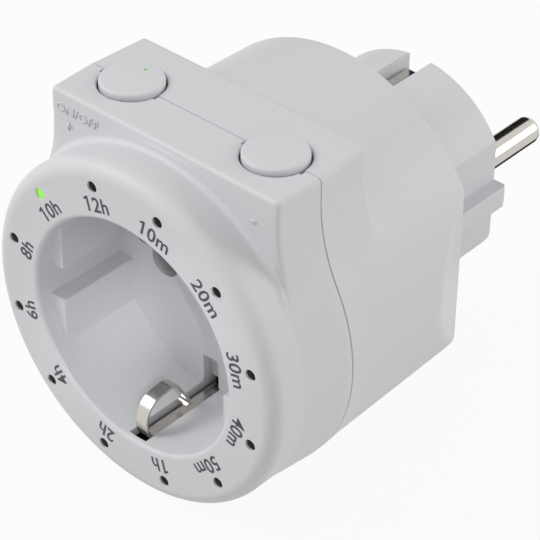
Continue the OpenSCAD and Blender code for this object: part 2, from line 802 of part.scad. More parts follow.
module button_cap(x) stand() {
  translate([x, 0, button_at]) rotate([-90, 0, 0]) rotate_extrude() {
    translate([0, flange_up - button_flange]) square([button_flange_r, button_flange]);
    translate([0, flange_up]) square([button_r, button_up - button_round - flange_up]);
    translate([0, flange_up]) square([button_r - button_round, button_up - flange_up]);
    translate([button_r - button_round, button_up - button_round]) circle(r = button_round);
  }
}

module button_plus() color("#cbcbce") difference() {
  button_cap(-button_half);
  stand() upright(status_r, -button_half, button_at - status_back, button_up - status_len, button_up + over);
}

module button_minus() color("#cbcbce") button_cap(button_half);

module plunger(x) stand() upright(plunger_r, x, button_at, plunger_low, flange_up - button_flange);
module plunger_plus() color("DimGray") plunger(-button_half);
module plunger_minus() color("DimGray") plunger(button_half);

module status_light() color("LimeGreen") stand()
  upright(status_r, -button_half, button_at - status_back, button_up - status_len, button_up);

module button_board() color("DarkGreen") stand()
  block(-button_board_half, button_board_half, button_board_up, switch_up,
    button_board_back, button_board_front);

module push_switch(x) stand() difference() {
  block(x - switch_half, x + switch_half, switch_up, switch_top,
    button_at - switch_half, button_at + switch_half);
  upright(plunger_bore_r, x, button_at, switch_top - plunger_bore, switch_top + over);
}
module switch_plus() color("Silver") push_switch(-button_half);
module switch_minus() color("Silver") push_switch(button_half);

module button_ribbon() color("LightGray") stand()
  for (i = [-2.5:2.5]) translate([i * wire_step, ribbon_up, 0]) rod(wire_r, board_face, button_board_back);

module light_mask() color("Black") stand() difference() {
  rod(mask_out_r, mask_at, front_in);
  rod(mask_in_r, mask_at - over, front_in + over);
  at_lights([0:lights - 1]) {
    rod(light_hole_r, mask_at, front_in + over);
    block(-light_base_half - over / 4, light_base_half + over / 4,
      -light_base_half - over / 4, light_base_half + over / 4,
      mask_at - over, mask_at + light_base + over / 4);
  }
}

module light_board() color("DarkGreen") stand() difference() {
  rod(mask_out_r, light_board_at, mask_at);
  rod(mask_in_r, light_board_at - over, mask_at + over);
}

module light() {
  block(-light_base_half, light_base_half, -light_base_half, light_base_half, mask_at, mask_at + light_base);
  rod(lens_r, mask_at + light_base, body_len - lens_setback - lens_r);
  translate([0, 0, body_len - lens_setback - lens_r]) sphere(r = lens_r);
}

module lights_off() color("DarkSlateGray") stand() {
  at_lights([for (i = [0:lights - 1]) if (i != lit_light) i]) light();
}

module light_on() color("Lime") stand() at_lights([lit_light]) light();

module light_ribbon() color("LightGray") stand()
  for (i = [-2.5:2.5]) translate([ribbon_x, i * wire_step, 0]) rod(wire_r, board_face, light_board_at);

module contact_tube(x) stand() difference() {
  translate([x, 0, 0]) rod(tube_r, board_face, contact_at);
  translate([x, 0, 0]) rod(tube_bore_r, board_face + tube_base, contact_at + over);
  block(x - tube_slot / 2, x + tube_slot / 2, -tube_r - over, tube_r + over,
    cup_back_at - carrier_thick - tube_slot_len,
    cup_back_at - carrier_thick);
}
module contact_left() color("Gold") contact_tube(-pin_half);
module contact_right() color("Gold") contact_tube(pin_half);

module contact_carrier() color("DimGray") stand() difference() {
  block(-carrier_half, carrier_half, -carrier_up, carrier_up, carrier_at, cup_back_at);
  mirrored() translate([pin_half, 0, 0]) {
    rod(tube_r, carrier_at - over, contact_at);
    rod(contact_hole_r, carrier_at, cup_back_at + over);
  }
  for (s = [-1, 1])
    translate([-s * insert_x, s * insert_up, 0]) rod(insert_screw_r, carrier_at - over, cup_back_at + over);
}

module insert_screws() color("Silver") stand()
  for (s = [-1, 1]) translate([-s * insert_x, s * insert_up, 0]) difference() {
    union() {
      rod(insert_head_r, floor_at - insert_pocket, floor_at - insert_pocket + insert_head);
      rod(insert_screw_r, carrier_at, floor_at - insert_pocket);
    }
    for (a = [0, 90]) rotate([0, 0, a])
      block(-insert_head_r / 2, insert_head_r / 2, -cross_half / 2, cross_half / 2,
        floor_at - insert_pocket + insert_head / 2, floor_at);
  }

module earth_clip_top() color("Silver") stand() clip_line(clip_half, clip_upper_back);
module earth_clip_bottom() color("Silver") stand() rotate([0, 0, 180]) clip_line(clip_half, 0);

module strap() {
  line = rounded([
    [strap_setback + strap_thick / 2, strap_end_up],
    [strap_setback + strap_thick / 2, strap_mid],
    [strap_turn_at, strap_mid],
    [strap_turn_at, clip_base_up + clip_thick / 2]
  ], [strap_bend - strap_thick / 2, strap_thick]);
  sideways(strap_half) polygon(strip(line, strap_thick));
}
module earth_strap_top() color("Silver") stand() strap();
module earth_strap_bottom() color("Silver") stand() rotate([0, 0, 180]) strap();

module earth_bridge() color("Silver") stand()
  block(-bridge_half, bridge_half, -notch_floor, notch_floor, bridge_at, bridge_at + strap_thick);

module plug_pin(x) stand() {
  translate([x, 0, 0]) rotate_extrude() {
    translate([0, -pin_len]) square([pin_r - pin_round, pin_len]);
    translate([0, pin_round - pin_len]) square([pin_r, pin_len - pin_round + board_at]);
    intersection() {
      translate([pin_r - pin_round, pin_round - pin_len]) circle(r = pin_round);
      translate([0, -pin_len]) square([pin_r, pin_len]);
    }
    square([pin_seat_r, nose_wall]);
    translate([0, nose_wall]) square([pin_collar_r, pin_collar]);
    translate([0, board_at - over]) square([pin_tail_r, board_thick + over]);
  }
}
module pin_left() color("Silver") plug_pin(-pin_half);
module pin_right() color("Silver") plug_pin(pin_half);

module main_board() color("DarkGreen") stand() difference() {
  intersection() {
    rod(board_r, board_at, board_face);
    block(-board_half, board_half, -board_r, board_r, board_at - over, board_face + over);
  }
  at_screws() rod(boss_r + over, board_at - over, board_face + over);
  mirrored() translate([pin_half, 0, 0]) rod(pin_tail_r, board_at - over, board_face + over);
  for (s = [0, 180]) rotate([0, 0, s])
    block(-notch_half, notch_half, notch_floor - over, notch_floor + strap_thick + over,
      board_at - over, board_face + over);
}

module busbar_left() color("Gold") stand()
  block(fuse_r - fuse_x, -pin_half - tube_r, -bar_half, bar_half, board_face, board_face + bar_thick);
module busbar_right() color("Gold") stand()
  block(pin_half + tube_r, varistor_x + bar_half, -bar_half, bar_half, board_face, board_face + bar_thick);

module relay_base() color("Black") stand()
  block(-relay_half, relay_half, -relay_low, -relay_high, board_face, board_face + relay_base);

module relay_cover() color("MidnightBlue") stand() difference() {
  block(-relay_half, relay_half, -relay_low, -relay_high, board_face + relay_base, board_face + relay_tall);
  block(relay_wall - relay_half, relay_half - relay_wall, relay_wall - relay_low, -relay_high - relay_wall,
    board_face + relay_base - over, board_face + relay_tall - relay_wall);
}

module relay_bobbin() color("Ivory") stand() translate([coil_x, coil_mid_up, 0]) difference() {
  union() {
    rod(bobbin_r, bobbin_at + iron_thick, winding_at + iron_thick);
    rod(bobbin_core_r, bobbin_at + iron_thick, pole_at);
    rod(bobbin_r, pole_at - bobbin_flange, pole_at);
  }
  rod(core_r, bobbin_at, pole_at + over);
}

module relay_coil() color("Peru") stand() translate([coil_x, coil_mid_up, 0]) difference() {
  rod(coil_r, winding_at + iron_thick, pole_at - bobbin_flange);
  rod(bobbin_core_r, winding_at, pole_at);
}

module relay_core() color("Gray") stand() translate([coil_x, coil_mid_up, 0]) {
  rod(core_r, bobbin_at + iron_thick, pole_at + pole_thick / 2);
  rod(pole_r, pole_at, pole_at + pole_thick);
}

module relay_yoke() color("Gray") stand() {
  block(pivot_x - iron_thick / 2, coil_x + bobbin_r, coil_mid_up - iron_half, coil_mid_up + iron_half,
    bobbin_at, bobbin_at + iron_thick);
  block(pivot_x - iron_thick / 2, pivot_x + iron_thick / 2, coil_mid_up - iron_half, coil_mid_up + iron_half,
    bobbin_at, yoke_top);
}

module relay_armature() color("DarkGray") stand() {
  block(pivot_x, coil_x + pole_r + iron_thick, coil_mid_up - iron_half, coil_mid_up + iron_half,
    armature_at, armature_at + iron_thick);
  translate([pivot_x, coil_mid_up + iron_half, armature_at])
    rotate([90, 0, 0]) cylinder(r = pivot_r, h = 2 * iron_half);
}

module relay_blade() color("Gold") stand() {
  block(coil_x, contact_x + blade_half, coil_mid_up - blade_half, coil_mid_up + blade_half,
    armature_at + iron_thick, armature_at + iron_thick + blade_thick);
  translate([contact_x, coil_mid_up, 0]) rod(rivet_r, rivet_face, armature_at + iron_thick);
}

module relay_anvil() color("Gold") stand() translate([contact_x, coil_mid_up, 0]) {
  block(-blade_half, blade_half, -blade_half, blade_half, bobbin_at, anvil_top - rivet_tall);
  rod(rivet_r, anvil_top - rivet_tall, anvil_top);
}

module film_capacitor() color("Goldenrod") stand()
  block(-film_half, film_half, film_low, film_high, board_face, board_face + film_tall);

module electrolytic() color("MidnightBlue") stand()
  translate([can_x, can_up, 0]) rod(can_r, board_face, board_face + can_tall);

module varistor() color("RoyalBlue") stand() translate([varistor_x, -varistor_down, board_face]) {
  translate([0, 0, lead_len + varistor_r]) rotate([0, -90, 0])
    translate([0, 0, -varistor_thick / 2]) cylinder(r = varistor_r, h = varistor_thick);
  for (y = [-varistor_r / 2, varistor_r / 2])
    translate([0, y, 0]) rod(lead_r, 0, lead_len + varistor_r / 2);
}

module fuse_body() color("Beige") stand() translate([-fuse_x, 0, board_face + fuse_r]) rotate([90, 0, 0])
  translate([0, 0, fuse_cap - fuse_len / 2]) cylinder(r = fuse_r - over / 5, h = fuse_len - 2 * fuse_cap);

module fuse_caps() color("Silver") stand() translate([-fuse_x, 0, board_face + fuse_r]) rotate([90, 0, 0])
  for (z = [-fuse_len / 2, fuse_len / 2 - fuse_cap]) translate([0, 0, z]) cylinder(r = fuse_r, h = fuse_cap);

module resistors() color("Tan") stand()
  for (y = [-resistor_up, resistor_up])
    translate([-resistor_x, y, board_face + resistor_r]) rotate([90, 0, 0])
    translate([0, 0, -resistor_len / 2]) cylinder(r = resistor_r, h = resistor_len);

module diodes() color("Black") stand()
  for (i = [-1.5:1.5]) translate([i * diode_step, -diode_down, board_face + diode_r]) rotate([90, 0, 0])
    translate([0, 0, -diode_len / 2]) cylinder(r = diode_r, h = diode_len);

module microcontroller() color("Black") stand()
  block(-chip_half, chip_half, chip_up - chip_side, chip_up + chip_side, board_at - chip_thick, board_at);

module chip_legs() color("Silver") stand()
  for (i = [-2.5:2.5])
    for (s = [-1, 1])
      translate([i * chip_pitch, chip_up + s * (chip_side + leg_reach / 2), board_at - leg_half])
        cube([2 * leg_half, leg_reach, 2 * leg_half], center = true);

module housing_screws() color("Silver") stand() at_screws() difference() {
  union() {
    rod(head_r, pocket_at - head_thick, pocket_at);
    rod(shank_r, pocket_at - head_thick / 2, screw_tip_at);
  }
  for (a = [0, 90]) rotate([0, 0, a])
    block(-head_r / 2, head_r / 2, -cross_half, cross_half, pocket_at - head_thick - over,
      pocket_at - head_thick + cross_deep);
}

front_shell();
socket_floor();
rear_shell();
plug_nose();
button_plus();
button_minus();
plunger_plus();
plunger_minus();
status_light();
button_board();
switch_plus();
switch_minus();
button_ribbon();
light_mask();
light_board();
lights_off();
light_on();
light_ribbon();
contact_left();
contact_right();
contact_carrier();
insert_screws();
earth_clip_top();
earth_clip_bottom();
earth_strap_top();
earth_strap_bottom();
earth_bridge();
pin_left();
pin_right();
main_board();
busbar_left();
busbar_right();
relay_base();
relay_cover();
relay_bobbin();
relay_coil();
relay_core();
relay_yoke();
relay_armature();
relay_blade();
relay_anvil();
film_capacitor();
electrolytic();
varistor();
fuse_body();
fuse_caps();
resistors();
diodes();
microcontroller();
chip_legs();
housing_screws();
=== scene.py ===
"""Surfaces, finishes, studio and camera of a plug-in countdown timer switch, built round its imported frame."""

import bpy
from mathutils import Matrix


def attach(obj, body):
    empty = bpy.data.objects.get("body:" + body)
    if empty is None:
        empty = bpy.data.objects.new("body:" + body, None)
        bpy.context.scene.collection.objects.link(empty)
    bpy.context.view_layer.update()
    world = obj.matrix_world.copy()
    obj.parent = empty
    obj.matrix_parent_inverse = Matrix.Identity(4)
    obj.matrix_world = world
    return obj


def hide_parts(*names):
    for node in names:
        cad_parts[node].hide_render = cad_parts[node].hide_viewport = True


bl_info = {
    "name": "Countdown timer switch",
    "version": (1, 0, 0),
    "blender": (4, 5, 0),
    "location": "3D View > Sidebar > Timer switch",
    "description": "Builds the moulded skins, contacts, dial and studio of a plug-in countdown timer switch",
    "category": "Add Mesh",
}

import math

import bmesh
import bpy
import numpy as np
from bpy.props import FloatProperty, FloatVectorProperty, IntProperty, PointerProperty
from bpy.types import Operator, Panel, PropertyGroup
from mathutils import Matrix, Vector

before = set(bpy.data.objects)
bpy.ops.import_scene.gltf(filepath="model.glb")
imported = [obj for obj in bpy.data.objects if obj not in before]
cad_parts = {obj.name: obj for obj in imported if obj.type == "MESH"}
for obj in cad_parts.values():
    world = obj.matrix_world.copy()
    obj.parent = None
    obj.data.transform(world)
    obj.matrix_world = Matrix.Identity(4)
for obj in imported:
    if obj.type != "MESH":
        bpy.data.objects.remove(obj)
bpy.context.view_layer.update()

MM = 0.001
# A length or share too small to see, which keeps divisions off zero and cutters off the faces that they meet
TINY = 1e-6
# Time labels, clockwise from the one left of the top, and the one whose light is on
LABELS = ("12h", "10m", "20m", "30m", "40m", "50m", "1h", "2h", "4h", "6h", "8h", "10h")
LIT_LABEL = "10h"


def linear(code):
    """Linear RGB of an sRGB hex colour."""
    value = np.array([int(code[i:i + 2], 16) for i in (1, 3, 5)]) / 255
    return tuple(np.where(value <= 0.04045, value / 12.92, ((value + 0.055) / 1.055) ** 2.4))


def length(name, description, millimetres):
    """A length property with its default given in millimetres."""
    return FloatProperty(name=name, description=description, default=millimetres * MM,
                         unit="LENGTH", precision=5)


def tint(name, description, code):
    """A colour property with its default given as sRGB hex."""
    return FloatVectorProperty(name=name, description=description, default=linear(code),
                               size=3, subtype="COLOR", min=0, max=1)


class RingSizes(PropertyGroup):
    front: length("Front face", "Distance of the ring's front face from the wall plane", 67.17)
    seam: length("Seam", "Distance of the seam between the shells from the wall plane", 51.0)
    waist_r: length("Waist radius", "Radius of the ring just behind its rounded front edge", 28.83)
    waist: length("Waist end", "Where the ring starts to widen towards the seam", 60.5)
    swell_r: length("Widest radius", "Radius of the ring just in front of the seam", 29.6)
    swell: length("Widest place", "Where the ring is widest", 52.3)
    seam_r: length("Seam radius", "Radius of the ring at the seam", 29.6)
    collar_r: length("Collar radius", "Radius of the body behind the seam", 29.36)
    collar: length("Collar place", "Where the body starts to taper to the rim", 47.2)
    rim_r: length("Rim radius", "Radius of the rear rim before the side flats", 28.8)
    edge: length("Front edge rounding", "Radius of the ring's rounded front edge", 2.4)
    wall: length("Wall", "Wall thickness of the shells", 2.0)
    groove: length("Seam groove", "Depth of the line between the shells", 0.45)
    groove_half: length("Seam groove half width", "Half the width of the line between the shells", 0.14)
    recess_r: length("Recess radius", "Radius of the socket recess", 19.75)
    lip: length("Lip rounding", "Rounding of the recess lip", 0.65)
    recess: length("Recess depth", "Depth of the socket recess", 17.5)
    floor: length("Floor thickness", "Thickness of the socket floor", 3.0)
    cup_wall: length("Cup wall", "Wall thickness of the socket cup", 1.65)
    guide_half: length("Guide width", "Half the distance between the guide blocks", 16.5)
    guide_gap: length("Guide gap", "Half the gap between upper and lower guide block", 3.0)
    guide_setback: length("Guide setback", "Distance of the guide blocks behind the front face", 2.5)
    light_ring_r: length("Light ring", "Radius of the circle of light holes", 25.07)
    light_hole_r: length("Light hole", "Radius of a light hole", 0.93)
    label_r: length("Label ring", "Radius of the circle on which the time labels are centred", 22.2)
    label_size: length("Label size", "Type size of the time labels", 3.4)
    label_weight: length("Label weight", "How far the labels' strokes are thickened to each side", 0.055)
    columns: IntProperty(name="Columns", description="Even steps round each shell", default=288, min=72)


class HousingSizes(PropertyGroup):
    half: length("Front half width", "Half width of the button housing at its front", 22.4)
    half_seam: length("Seam half width", "Half width of the housing at the seam, where it is widest", 22.78)
    half_rear: length("Rear half width", "Half width of the housing at the top of its rear", 22.15)
    top: length("Top", "Height of the housing's top above the axis", 31.06)
    front: length("Front", "Distance of the housing's front from the wall plane", 59.6)
    rear: length("Rear", "Distance of the housing's rear from the wall plane", 40.3)
    lean: FloatProperty(name="Lean", default=0, subtype="ANGLE",
                        description="Lean of the rear face, whose foot lies further back than its top")
    corner: length("Corner rounding", "Rounding of the long edges between top and sides", 0.8)
    hollow: length("Hollow", "Radius of the hollow between housing side and ring", 29.0)
    edge: length("Edge rounding", "Rounding of the front and rear edges", 0.75)
    foot: length("Foot rounding", "Rounding where the housing's front meets the ring", 1.0)
    wall: length("Wall", "Wall thickness of the housing", 1.7)
    button_x: length("Button place", "Sideways distance of the buttons from the middle", 14.2)
    button_at: length("Button depth", "Distance of the buttons from the wall plane", 50.9)
    button_r: length("Button radius", "Radius of the button caps", 4.98)
    button_up: length("Button top", "Height of the button caps above the axis", 32.0)
    button_low: length("Button foot", "Height of the underside of the buttons' flanges", 27.96)
    flange: length("Flange", "Thickness of the flange under a button cap", 1.2)
    flange_reach: length("Flange reach", "How far the flange reaches beyond the cap", 0.57)
    gap: length("Button gap", "Clearance round the button caps", 0.3)
    status_back: length("Status light", "Distance of the status light behind the left button's middle", 2.8)
    status_r: length("Status light radius", "Radius of the status light", 0.3)


class PlugSizes(PropertyGroup):
    rim: length("Rear rim", "Distance of the rear rim from the wall plane", 19.9)
    rim_edge: length("Rim rounding", "Rounding of the rear rim", 0.8)
    nose_r: length("Nose radius", "Radius of the plug nose", 18.5)
    nose_edge: length("Nose rounding", "Rounding of the nose's end", 0.5)
    flat_half: length("Flat width", "Half width between the side flats at the rear rim", 24.76)
    flat_angle: FloatProperty(name="Flat angle", default=math.radians(23.7), subtype="ANGLE",
                              description="Angle of the side flats to the plug's direction")
    cut: length("Side cut", "Half width between the nose's side cuts", 16.0)
    rib: length("Rib", "Half width of the rib on each side cut", 2.0)
    notch_half: length("Notch width", "Half width of the earth notches", 2.3)
    notch_floor: length("Notch floor", "Height of the notch floor above the axis", 15.2)
    pin_x: length("Pin place", "Half the distance between the pins", 9.5)
    pin_r: length("Pin radius", "Radius of the pins", 2.4)
    pin_len: length("Pin length", "Length of the pins beyond the nose", 19.0)
    pin_tip: length("Pin tip", "Rounding of the pin tips", 1.6)
    screw_ring_r: length("Screw ring", "Radius of the circle of housing screws", 23.9)
    pocket_r: length("Screw pocket", "Radius of a housing screw's pocket", 2.35)
    pocket_end: length("Pocket end", "Distance of the pocket's bottom from the wall plane", 36.0)
    tube_r: length("Screw tube", "Radius of the tube round a housing screw", 2.9)
    end_wall: length("End wall", "Thickness of the nose's end wall", 3.0)
    notch_wall: length("Notch wall", "Wall between the notches and the hollow of the nose", 1.8)
    strap_seat: length("Strap seat depth", "Depth of the seat in which a strap's end lies", 1.6)
    strap_drop: length("Strap seat drop", "How far the seat reaches below the notch floor", 1.45)
    seat_r: length("Pin seat", "Radius of the hole in which a pin sits", 2.6)
    tail: length("Pin tail", "How far a pin reaches behind the nose's end", 28.0)
    tail_step: length("Tail step", "Where the thin tail ends behind the nose's end", 26.4)
    tail_r: length("Tail radius", "Radius of the thin tail", 1.0)
    collar: length("Collar", "Where a pin's collar starts behind the nose's end", 5.0)
    collar_r: length("Collar radius", "Radius of a pin's collar", 3.6)
    root_r: length("Root radius", "Radius of a pin where it passes the end wall", 2.55)
    root: length("Root step", "How far behind the nose's end the root narrows to the pin", 0.15)


class ContactSizes(PropertyGroup):
    hole_x: length("Hole place", "Half the distance between the contact holes", 9.5)
    hole_r: length("Hole radius", "Radius of a contact hole", 2.75)
    screw_x: length("Screw place", "Sideways distance of the socket's screws from the middle", 14.2)
    screw_z: length("Screw height", "Height of the socket's screws above or below the axis", 3.2)
    screw_r: length("Screw pocket radius", "Radius of the pocket round a socket screw", 2.0)
    screw_deep: length("Screw pocket depth", "Depth of the pocket round a socket screw", 1.6)
    slot_half: length("Slot half width", "Half width of the slot behind an earth clip", 1.75)
    slot_front: length("Slot front", "Distance of the slot's front end from the wall plane", 66.1)
    slot_rear: length("Slot rear", "Distance of the slot's rear end from the wall plane", 46.2)
    slot_low: length("Slot floor", "Distance of the slot's inner side from the axis", 19.2)
    slot_high: length("Slot back", "Distance of the slot's back from the axis", 21.5)
    foot_half: length("Foot slot half width", "Half width of the slot in the socket floor", 1.6)
    foot_front: length("Foot slot front", "Distance of the floor slot's front from the wall plane", 50.2)
    foot_rear: length("Foot slot rear", "Distance of the floor slot's rear from the wall plane", 47.8)
    foot_low: length("Foot slot floor", "Distance of the floor slot's inner end from the axis", 14.15)
    foot_high: length("Foot slot back", "Distance of the floor slot's outer end from the axis", 20.0)
    clip_front: length("Clip front", "Distance of the lower clip's front bend from the wall plane", 65.0)
    clip_setback: length("Upper clip setback", "How much further back the upper clip sits", 3.6)
    clip_half: length("Clip half width", "Half width of an earth clip", 1.15)
    clip_thick: length("Clip thickness", "Thickness of an earth clip", 0.5)
    strap_half: length("Strap half width", "Half width of an earth strap", 1.85)
    strap_thick: length("Strap thickness", "Thickness of an earth strap", 0.8)


class Finishes(PropertyGroup):
    shell: tint("Shell", "Light grey ABS of the two shells and the raised signs", "#D2D2D5")
    button: tint("Button", "Light grey ABS of the buttons", "#D3D3D6")
    print: tint("Print", "Dark grey pad print of the time labels", "#46474C")
    nickel: tint("Nickel", "Nickel plating of pins, straps and clips", "#CBC7C0")
    lit: tint("Lit light", "Green of the light that is on", "#76C82E")
    status: tint("Status light", "Green of the status light", "#6FB84A")
    lit_glow: FloatProperty(name="Glow", description="Strength of the lit light", default=0.75, min=0)
    floor: tint("Floor", "Pale floor under the timer", "#D2D2D2")


class StudioValues(PropertyGroup):
    azimuth: FloatProperty(name="Azimuth", default=math.radians(41.666), subtype="ANGLE",
                           description="Camera's angle round the timer, 0 looks at the socket face")
    elevation: FloatProperty(name="Elevation", description="Camera's angle above the horizon",
                             default=math.radians(36.87), subtype="ANGLE")
    roll: FloatProperty(name="Roll", description="Turn of the camera about its own axis",
                        default=math.radians(0.526), subtype="ANGLE")
    distance: length("Distance", "Distance of the camera along its axis", 377.357)
    right: length("Right", "Sideways shift of the camera in its own plane", -24.109)
    up: length("Up", "Upward shift of the camera in its own plane", -19.504)
    lens: FloatProperty(name="Lens", default=152.342,
                        description="Focal length in millimetres on a 36 mm wide sensor")
    world: FloatProperty(name="Ambient", default=0.52, min=0,
                         description="Strength of the soft light from all round")


GROUPS = {"timer_ring": RingSizes, "timer_housing": HousingSizes, "timer_plug": PlugSizes,
          "timer_contacts": ContactSizes, "timer_finishes": Finishes, "timer_studio": StudioValues}

# Bent strips, in millimetres. A point of the clip is its distance behind the front bend and its distance from
# the axis. The clip's root and the strap's points are measured from the wall plane.
CLIP_ROOT = 43.2
CLIP_LINE = ((0, 21.0), (0, 14.1), (6.4, 13.35), (9.65, 18.9), (8.75, 19.35))
CLIP_BENDS = (2.2, 3.6, 1.9, 0.6)
STRAP_LINE = ((0.6, 13.75), (0.6, 15.6), (42.8, 15.6), (42.8, 21.25))
STRAP_BENDS = (1.0, 0.8)

# Raised signs: name, words, type size, width share, and sideways place and height in millimetres
SIGNS = (("sign_on_off", "ON/OFF", 2.0, 1.2, -16.75, 28.35),
         ("sign_plus", "+", 2.9, 1, -18.55, 25.75),
         ("sign_minus", "-", 4.4, 1, 18.0, 26.2))


def grid_mesh(name, rows):
    """A closed mesh from a grid of points, rows by columns. Each row is a closed ring, and the first and the
    last row are single points joined to their neighbours by triangles."""
    count, columns = rows.shape[:2]
    points = np.vstack([rows[0, :1], rows[1:-1].reshape(-1, 3), rows[-1, :1]])
    start = np.arange(count - 3)[:, None] * columns + 1
    column = np.arange(columns)
    after = (column + 1) % columns
    quads = np.stack([start + column, start + after, start + columns + after, start + columns + column], -1)
    quads = quads.reshape(-1, 4)
    last = (count - 3) * columns + 1
    fan = np.vstack([np.stack([0 * column, after + 1, column + 1], -1),
                     np.stack([0 * column + len(points) - 1, last + column, last + after], -1)])
    return mesh_from(name, points, quads, fan)


def mesh_from(name, points, quads, triangles):
    """A mesh from whole arrays of points, quads and triangles. The sign of the enclosed volume turns the
    faces outwards."""
    corners = points[np.vstack([quads[:, [0, 1, 2]], quads[:, [0, 2, 3]], triangles])]
    volume = np.einsum("ij,ij->", corners[:, 0], np.cross(corners[:, 1], corners[:, 2]))
    if volume < 0:
        quads, triangles = quads[:, ::-1], triangles[:, ::-1]
    mesh = bpy.data.meshes.new(name)
    mesh.vertices.add(len(points))
    mesh.vertices.foreach_set("co", points.ravel())
    loops = np.concatenate([quads.ravel(), triangles.ravel()])
    mesh.loops.add(len(loops))
    mesh.loops.foreach_set("vertex_index", loops)
    starts = np.concatenate([np.arange(len(quads)) * 4, len(quads) * 4 + np.arange(len(triangles)) * 3])
    mesh.polygons.add(len(starts))
    mesh.polygons.foreach_set("loop_start", starts)
    mesh.update(calc_edges=True)
    mesh.validate()
    return mesh


def linked(name, mesh):
    """A new object that holds the mesh, at the origin."""
    piece = bpy.data.objects.new(name, mesh)
    bpy.context.scene.collection.objects.link(piece)
    return piece


def block(low, high):
    """An eight-cornered cutter between two corners."""
    steps = np.array([[0, 0, 0], [1, 0, 0], [1, 1, 0], [0, 1, 0], [0, 0, 1], [1, 0, 1], [1, 1, 1], [0, 1, 1]])
    quads = np.array([[0, 3, 2, 1], [4, 5, 6, 7], [0, 1, 5, 4], [1, 2, 6, 5], [2, 3, 7, 6], [3, 0, 4, 7]])
    points = np.array(low) + steps * (np.array(high) - np.array(low))
    return linked("block", mesh_from("block", points, quads, np.zeros((0, 3), int)))


def lathe(name, profile, centre=(0, 0, 0), upright=False, columns=64):
    """A turned piece: rows of (place along the axis, radius), from pole to pole, carried round an axis that
    runs along Y, or along Z when upright."""
    angle = np.linspace(0, 2 * np.pi, columns, endpoint=False)
    along, radius = np.array(profile, float).T[:, :, None]
    sideways, depth = radius * np.sin(angle), radius * np.cos(angle)
    along = along + 0 * angle
    rows = np.stack([sideways, depth, along] if upright else [sideways, along, depth], -1)
    return linked(name, grid_mesh(name, rows + np.array(centre)))


def round_bar(name, low, high, radius, centre=(0, 0, 0), upright=False, columns=64):
    """A straight round bar between two places along its axis."""
    return lathe(name, [(low, 0), (low, radius), (high, radius), (high, 0)], centre, upright, columns)


def quarter(along, radius, turn_along, turn_radius, steps=6):
    """Rows of (place, radius) on a quarter ellipse round the centre (along, radius): it starts at the centre
    moved by turn_along and ends at the centre moved by turn_radius."""
    t = np.linspace(0, np.pi / 2, steps + 1)[:, None]
    return np.array([along, radius]) + np.cos(t) * np.array(turn_along) + np.sin(t) * np.array(turn_radius)


def carved(piece, cutters, operation="DIFFERENCE"):
    """Takes the cutters out of the piece, or joins them to it, as solids, and removes them."""
    for cutter in cutters:
        modifier = piece.modifiers.new(cutter.name, "BOOLEAN")
        modifier.operation = operation
        modifier.solver = "MANIFOLD"
        modifier.object = cutter
    mesh = bpy.data.meshes.new_from_object(piece.evaluated_get(bpy.context.evaluated_depsgraph_get()))
    piece.modifiers.clear()
    piece.data = mesh
    for cutter in cutters:
        bpy.data.objects.remove(cutter)
    if not mesh.polygons:
        raise RuntimeError(f"{piece.name} lost all its faces")
    return piece


def smooth(piece, angle=38):
    """Smooth shading with hard edges past the angle, in degrees, and even normals on flat faces."""
    piece.data.shade_smooth()
    piece.data.set_sharp_from_angle(angle=math.radians(angle))
    modifier = piece.modifiers.new("Even normals", "WEIGHTED_NORMAL")
    modifier.keep_sharp = True
    return piece


def placed(piece, body, slot, finish, *nodes):
    """The piece gets its finish, rides on its body and stands for the nodes; the slot is not used."""
    piece.data.materials.clear()
    piece.data.materials.append(finish)
    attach(piece, body)
    if nodes:
        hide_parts(*nodes)
    return piece


def bent(corners, radii, steps=7):
    """Points of a line with rounded corners: at each inner corner an arc touches both neighbouring stretches.
    A point of the arc is the centre plus the first touching radius turned evenly into the second."""
    corners = [np.array(c, float) for c in corners]
    points = [corners[0][None]]
    for before, corner, after, radius in zip(corners, corners[1:], corners[2:], radii):
        a = (before - corner) / np.linalg.norm(before - corner)
        b = (after - corner) / np.linalg.norm(after - corner)
        half = math.acos(a @ b) / 2
        centre = corner + (a + b) / np.linalg.norm(a + b) * radius / math.sin(half)
        touch = radius / math.tan(half)
        first, second = corner + a * touch - centre, corner + b * touch - centre
        turn = math.pi - 2 * half
        t = np.linspace(0, 1, steps + 1)[:, None]
        points.append(centre + (np.sin((1 - t) * turn) * first + np.sin(t * turn) * second) / math.sin(turn))
    return np.vstack(points + [corners[-1][None]])


def strip(name, line, half, thickness, rounding, flip=1):
    """A bent metal strip: a rounded rectangle carried along a line in the plane of depth and height, with its
    width sideways. Each ring lies square to the line, stretched at the bends to keep its thickness."""
    edge = np.linspace(0, np.pi / 2, 5)
    quarters = np.concatenate([edge + k * np.pi / 2 for k in range(4)])
    sides = np.repeat([[1, 1], [-1, 1], [-1, -1], [1, -1]], 5, axis=0)
    section = sides * (np.array([half, thickness / 2]) - rounding)
    section = section + rounding * np.stack([np.cos(quarters), np.sin(quarters)], -1)
    steps = np.diff(line, axis=0)
    steps /= np.linalg.norm(steps, axis=1, keepdims=True)
    before, after = np.vstack([steps[:1], steps]), np.vstack([steps, steps[-1:]])
    mean = before + after
    mean /= np.linalg.norm(mean, axis=1, keepdims=True)
    normal = np.stack([-mean[:, 1], mean[:, 0]], -1) / (mean * before).sum(1)[:, None]
    plane = line[:, None] + normal[:, None] * section[None, :, 1:]
    rows = np.stack([section[None, :, 0] + 0 * plane[..., 0], -plane[..., 0], flip * plane[..., 1]], -1)
    rows = np.concatenate([rows[:1].mean(1, keepdims=True) + 0 * rows[:1], rows,
                           rows[-1:].mean(1, keepdims=True) + 0 * rows[-1:]])
    return linked(name, grid_mesh(name, rows))


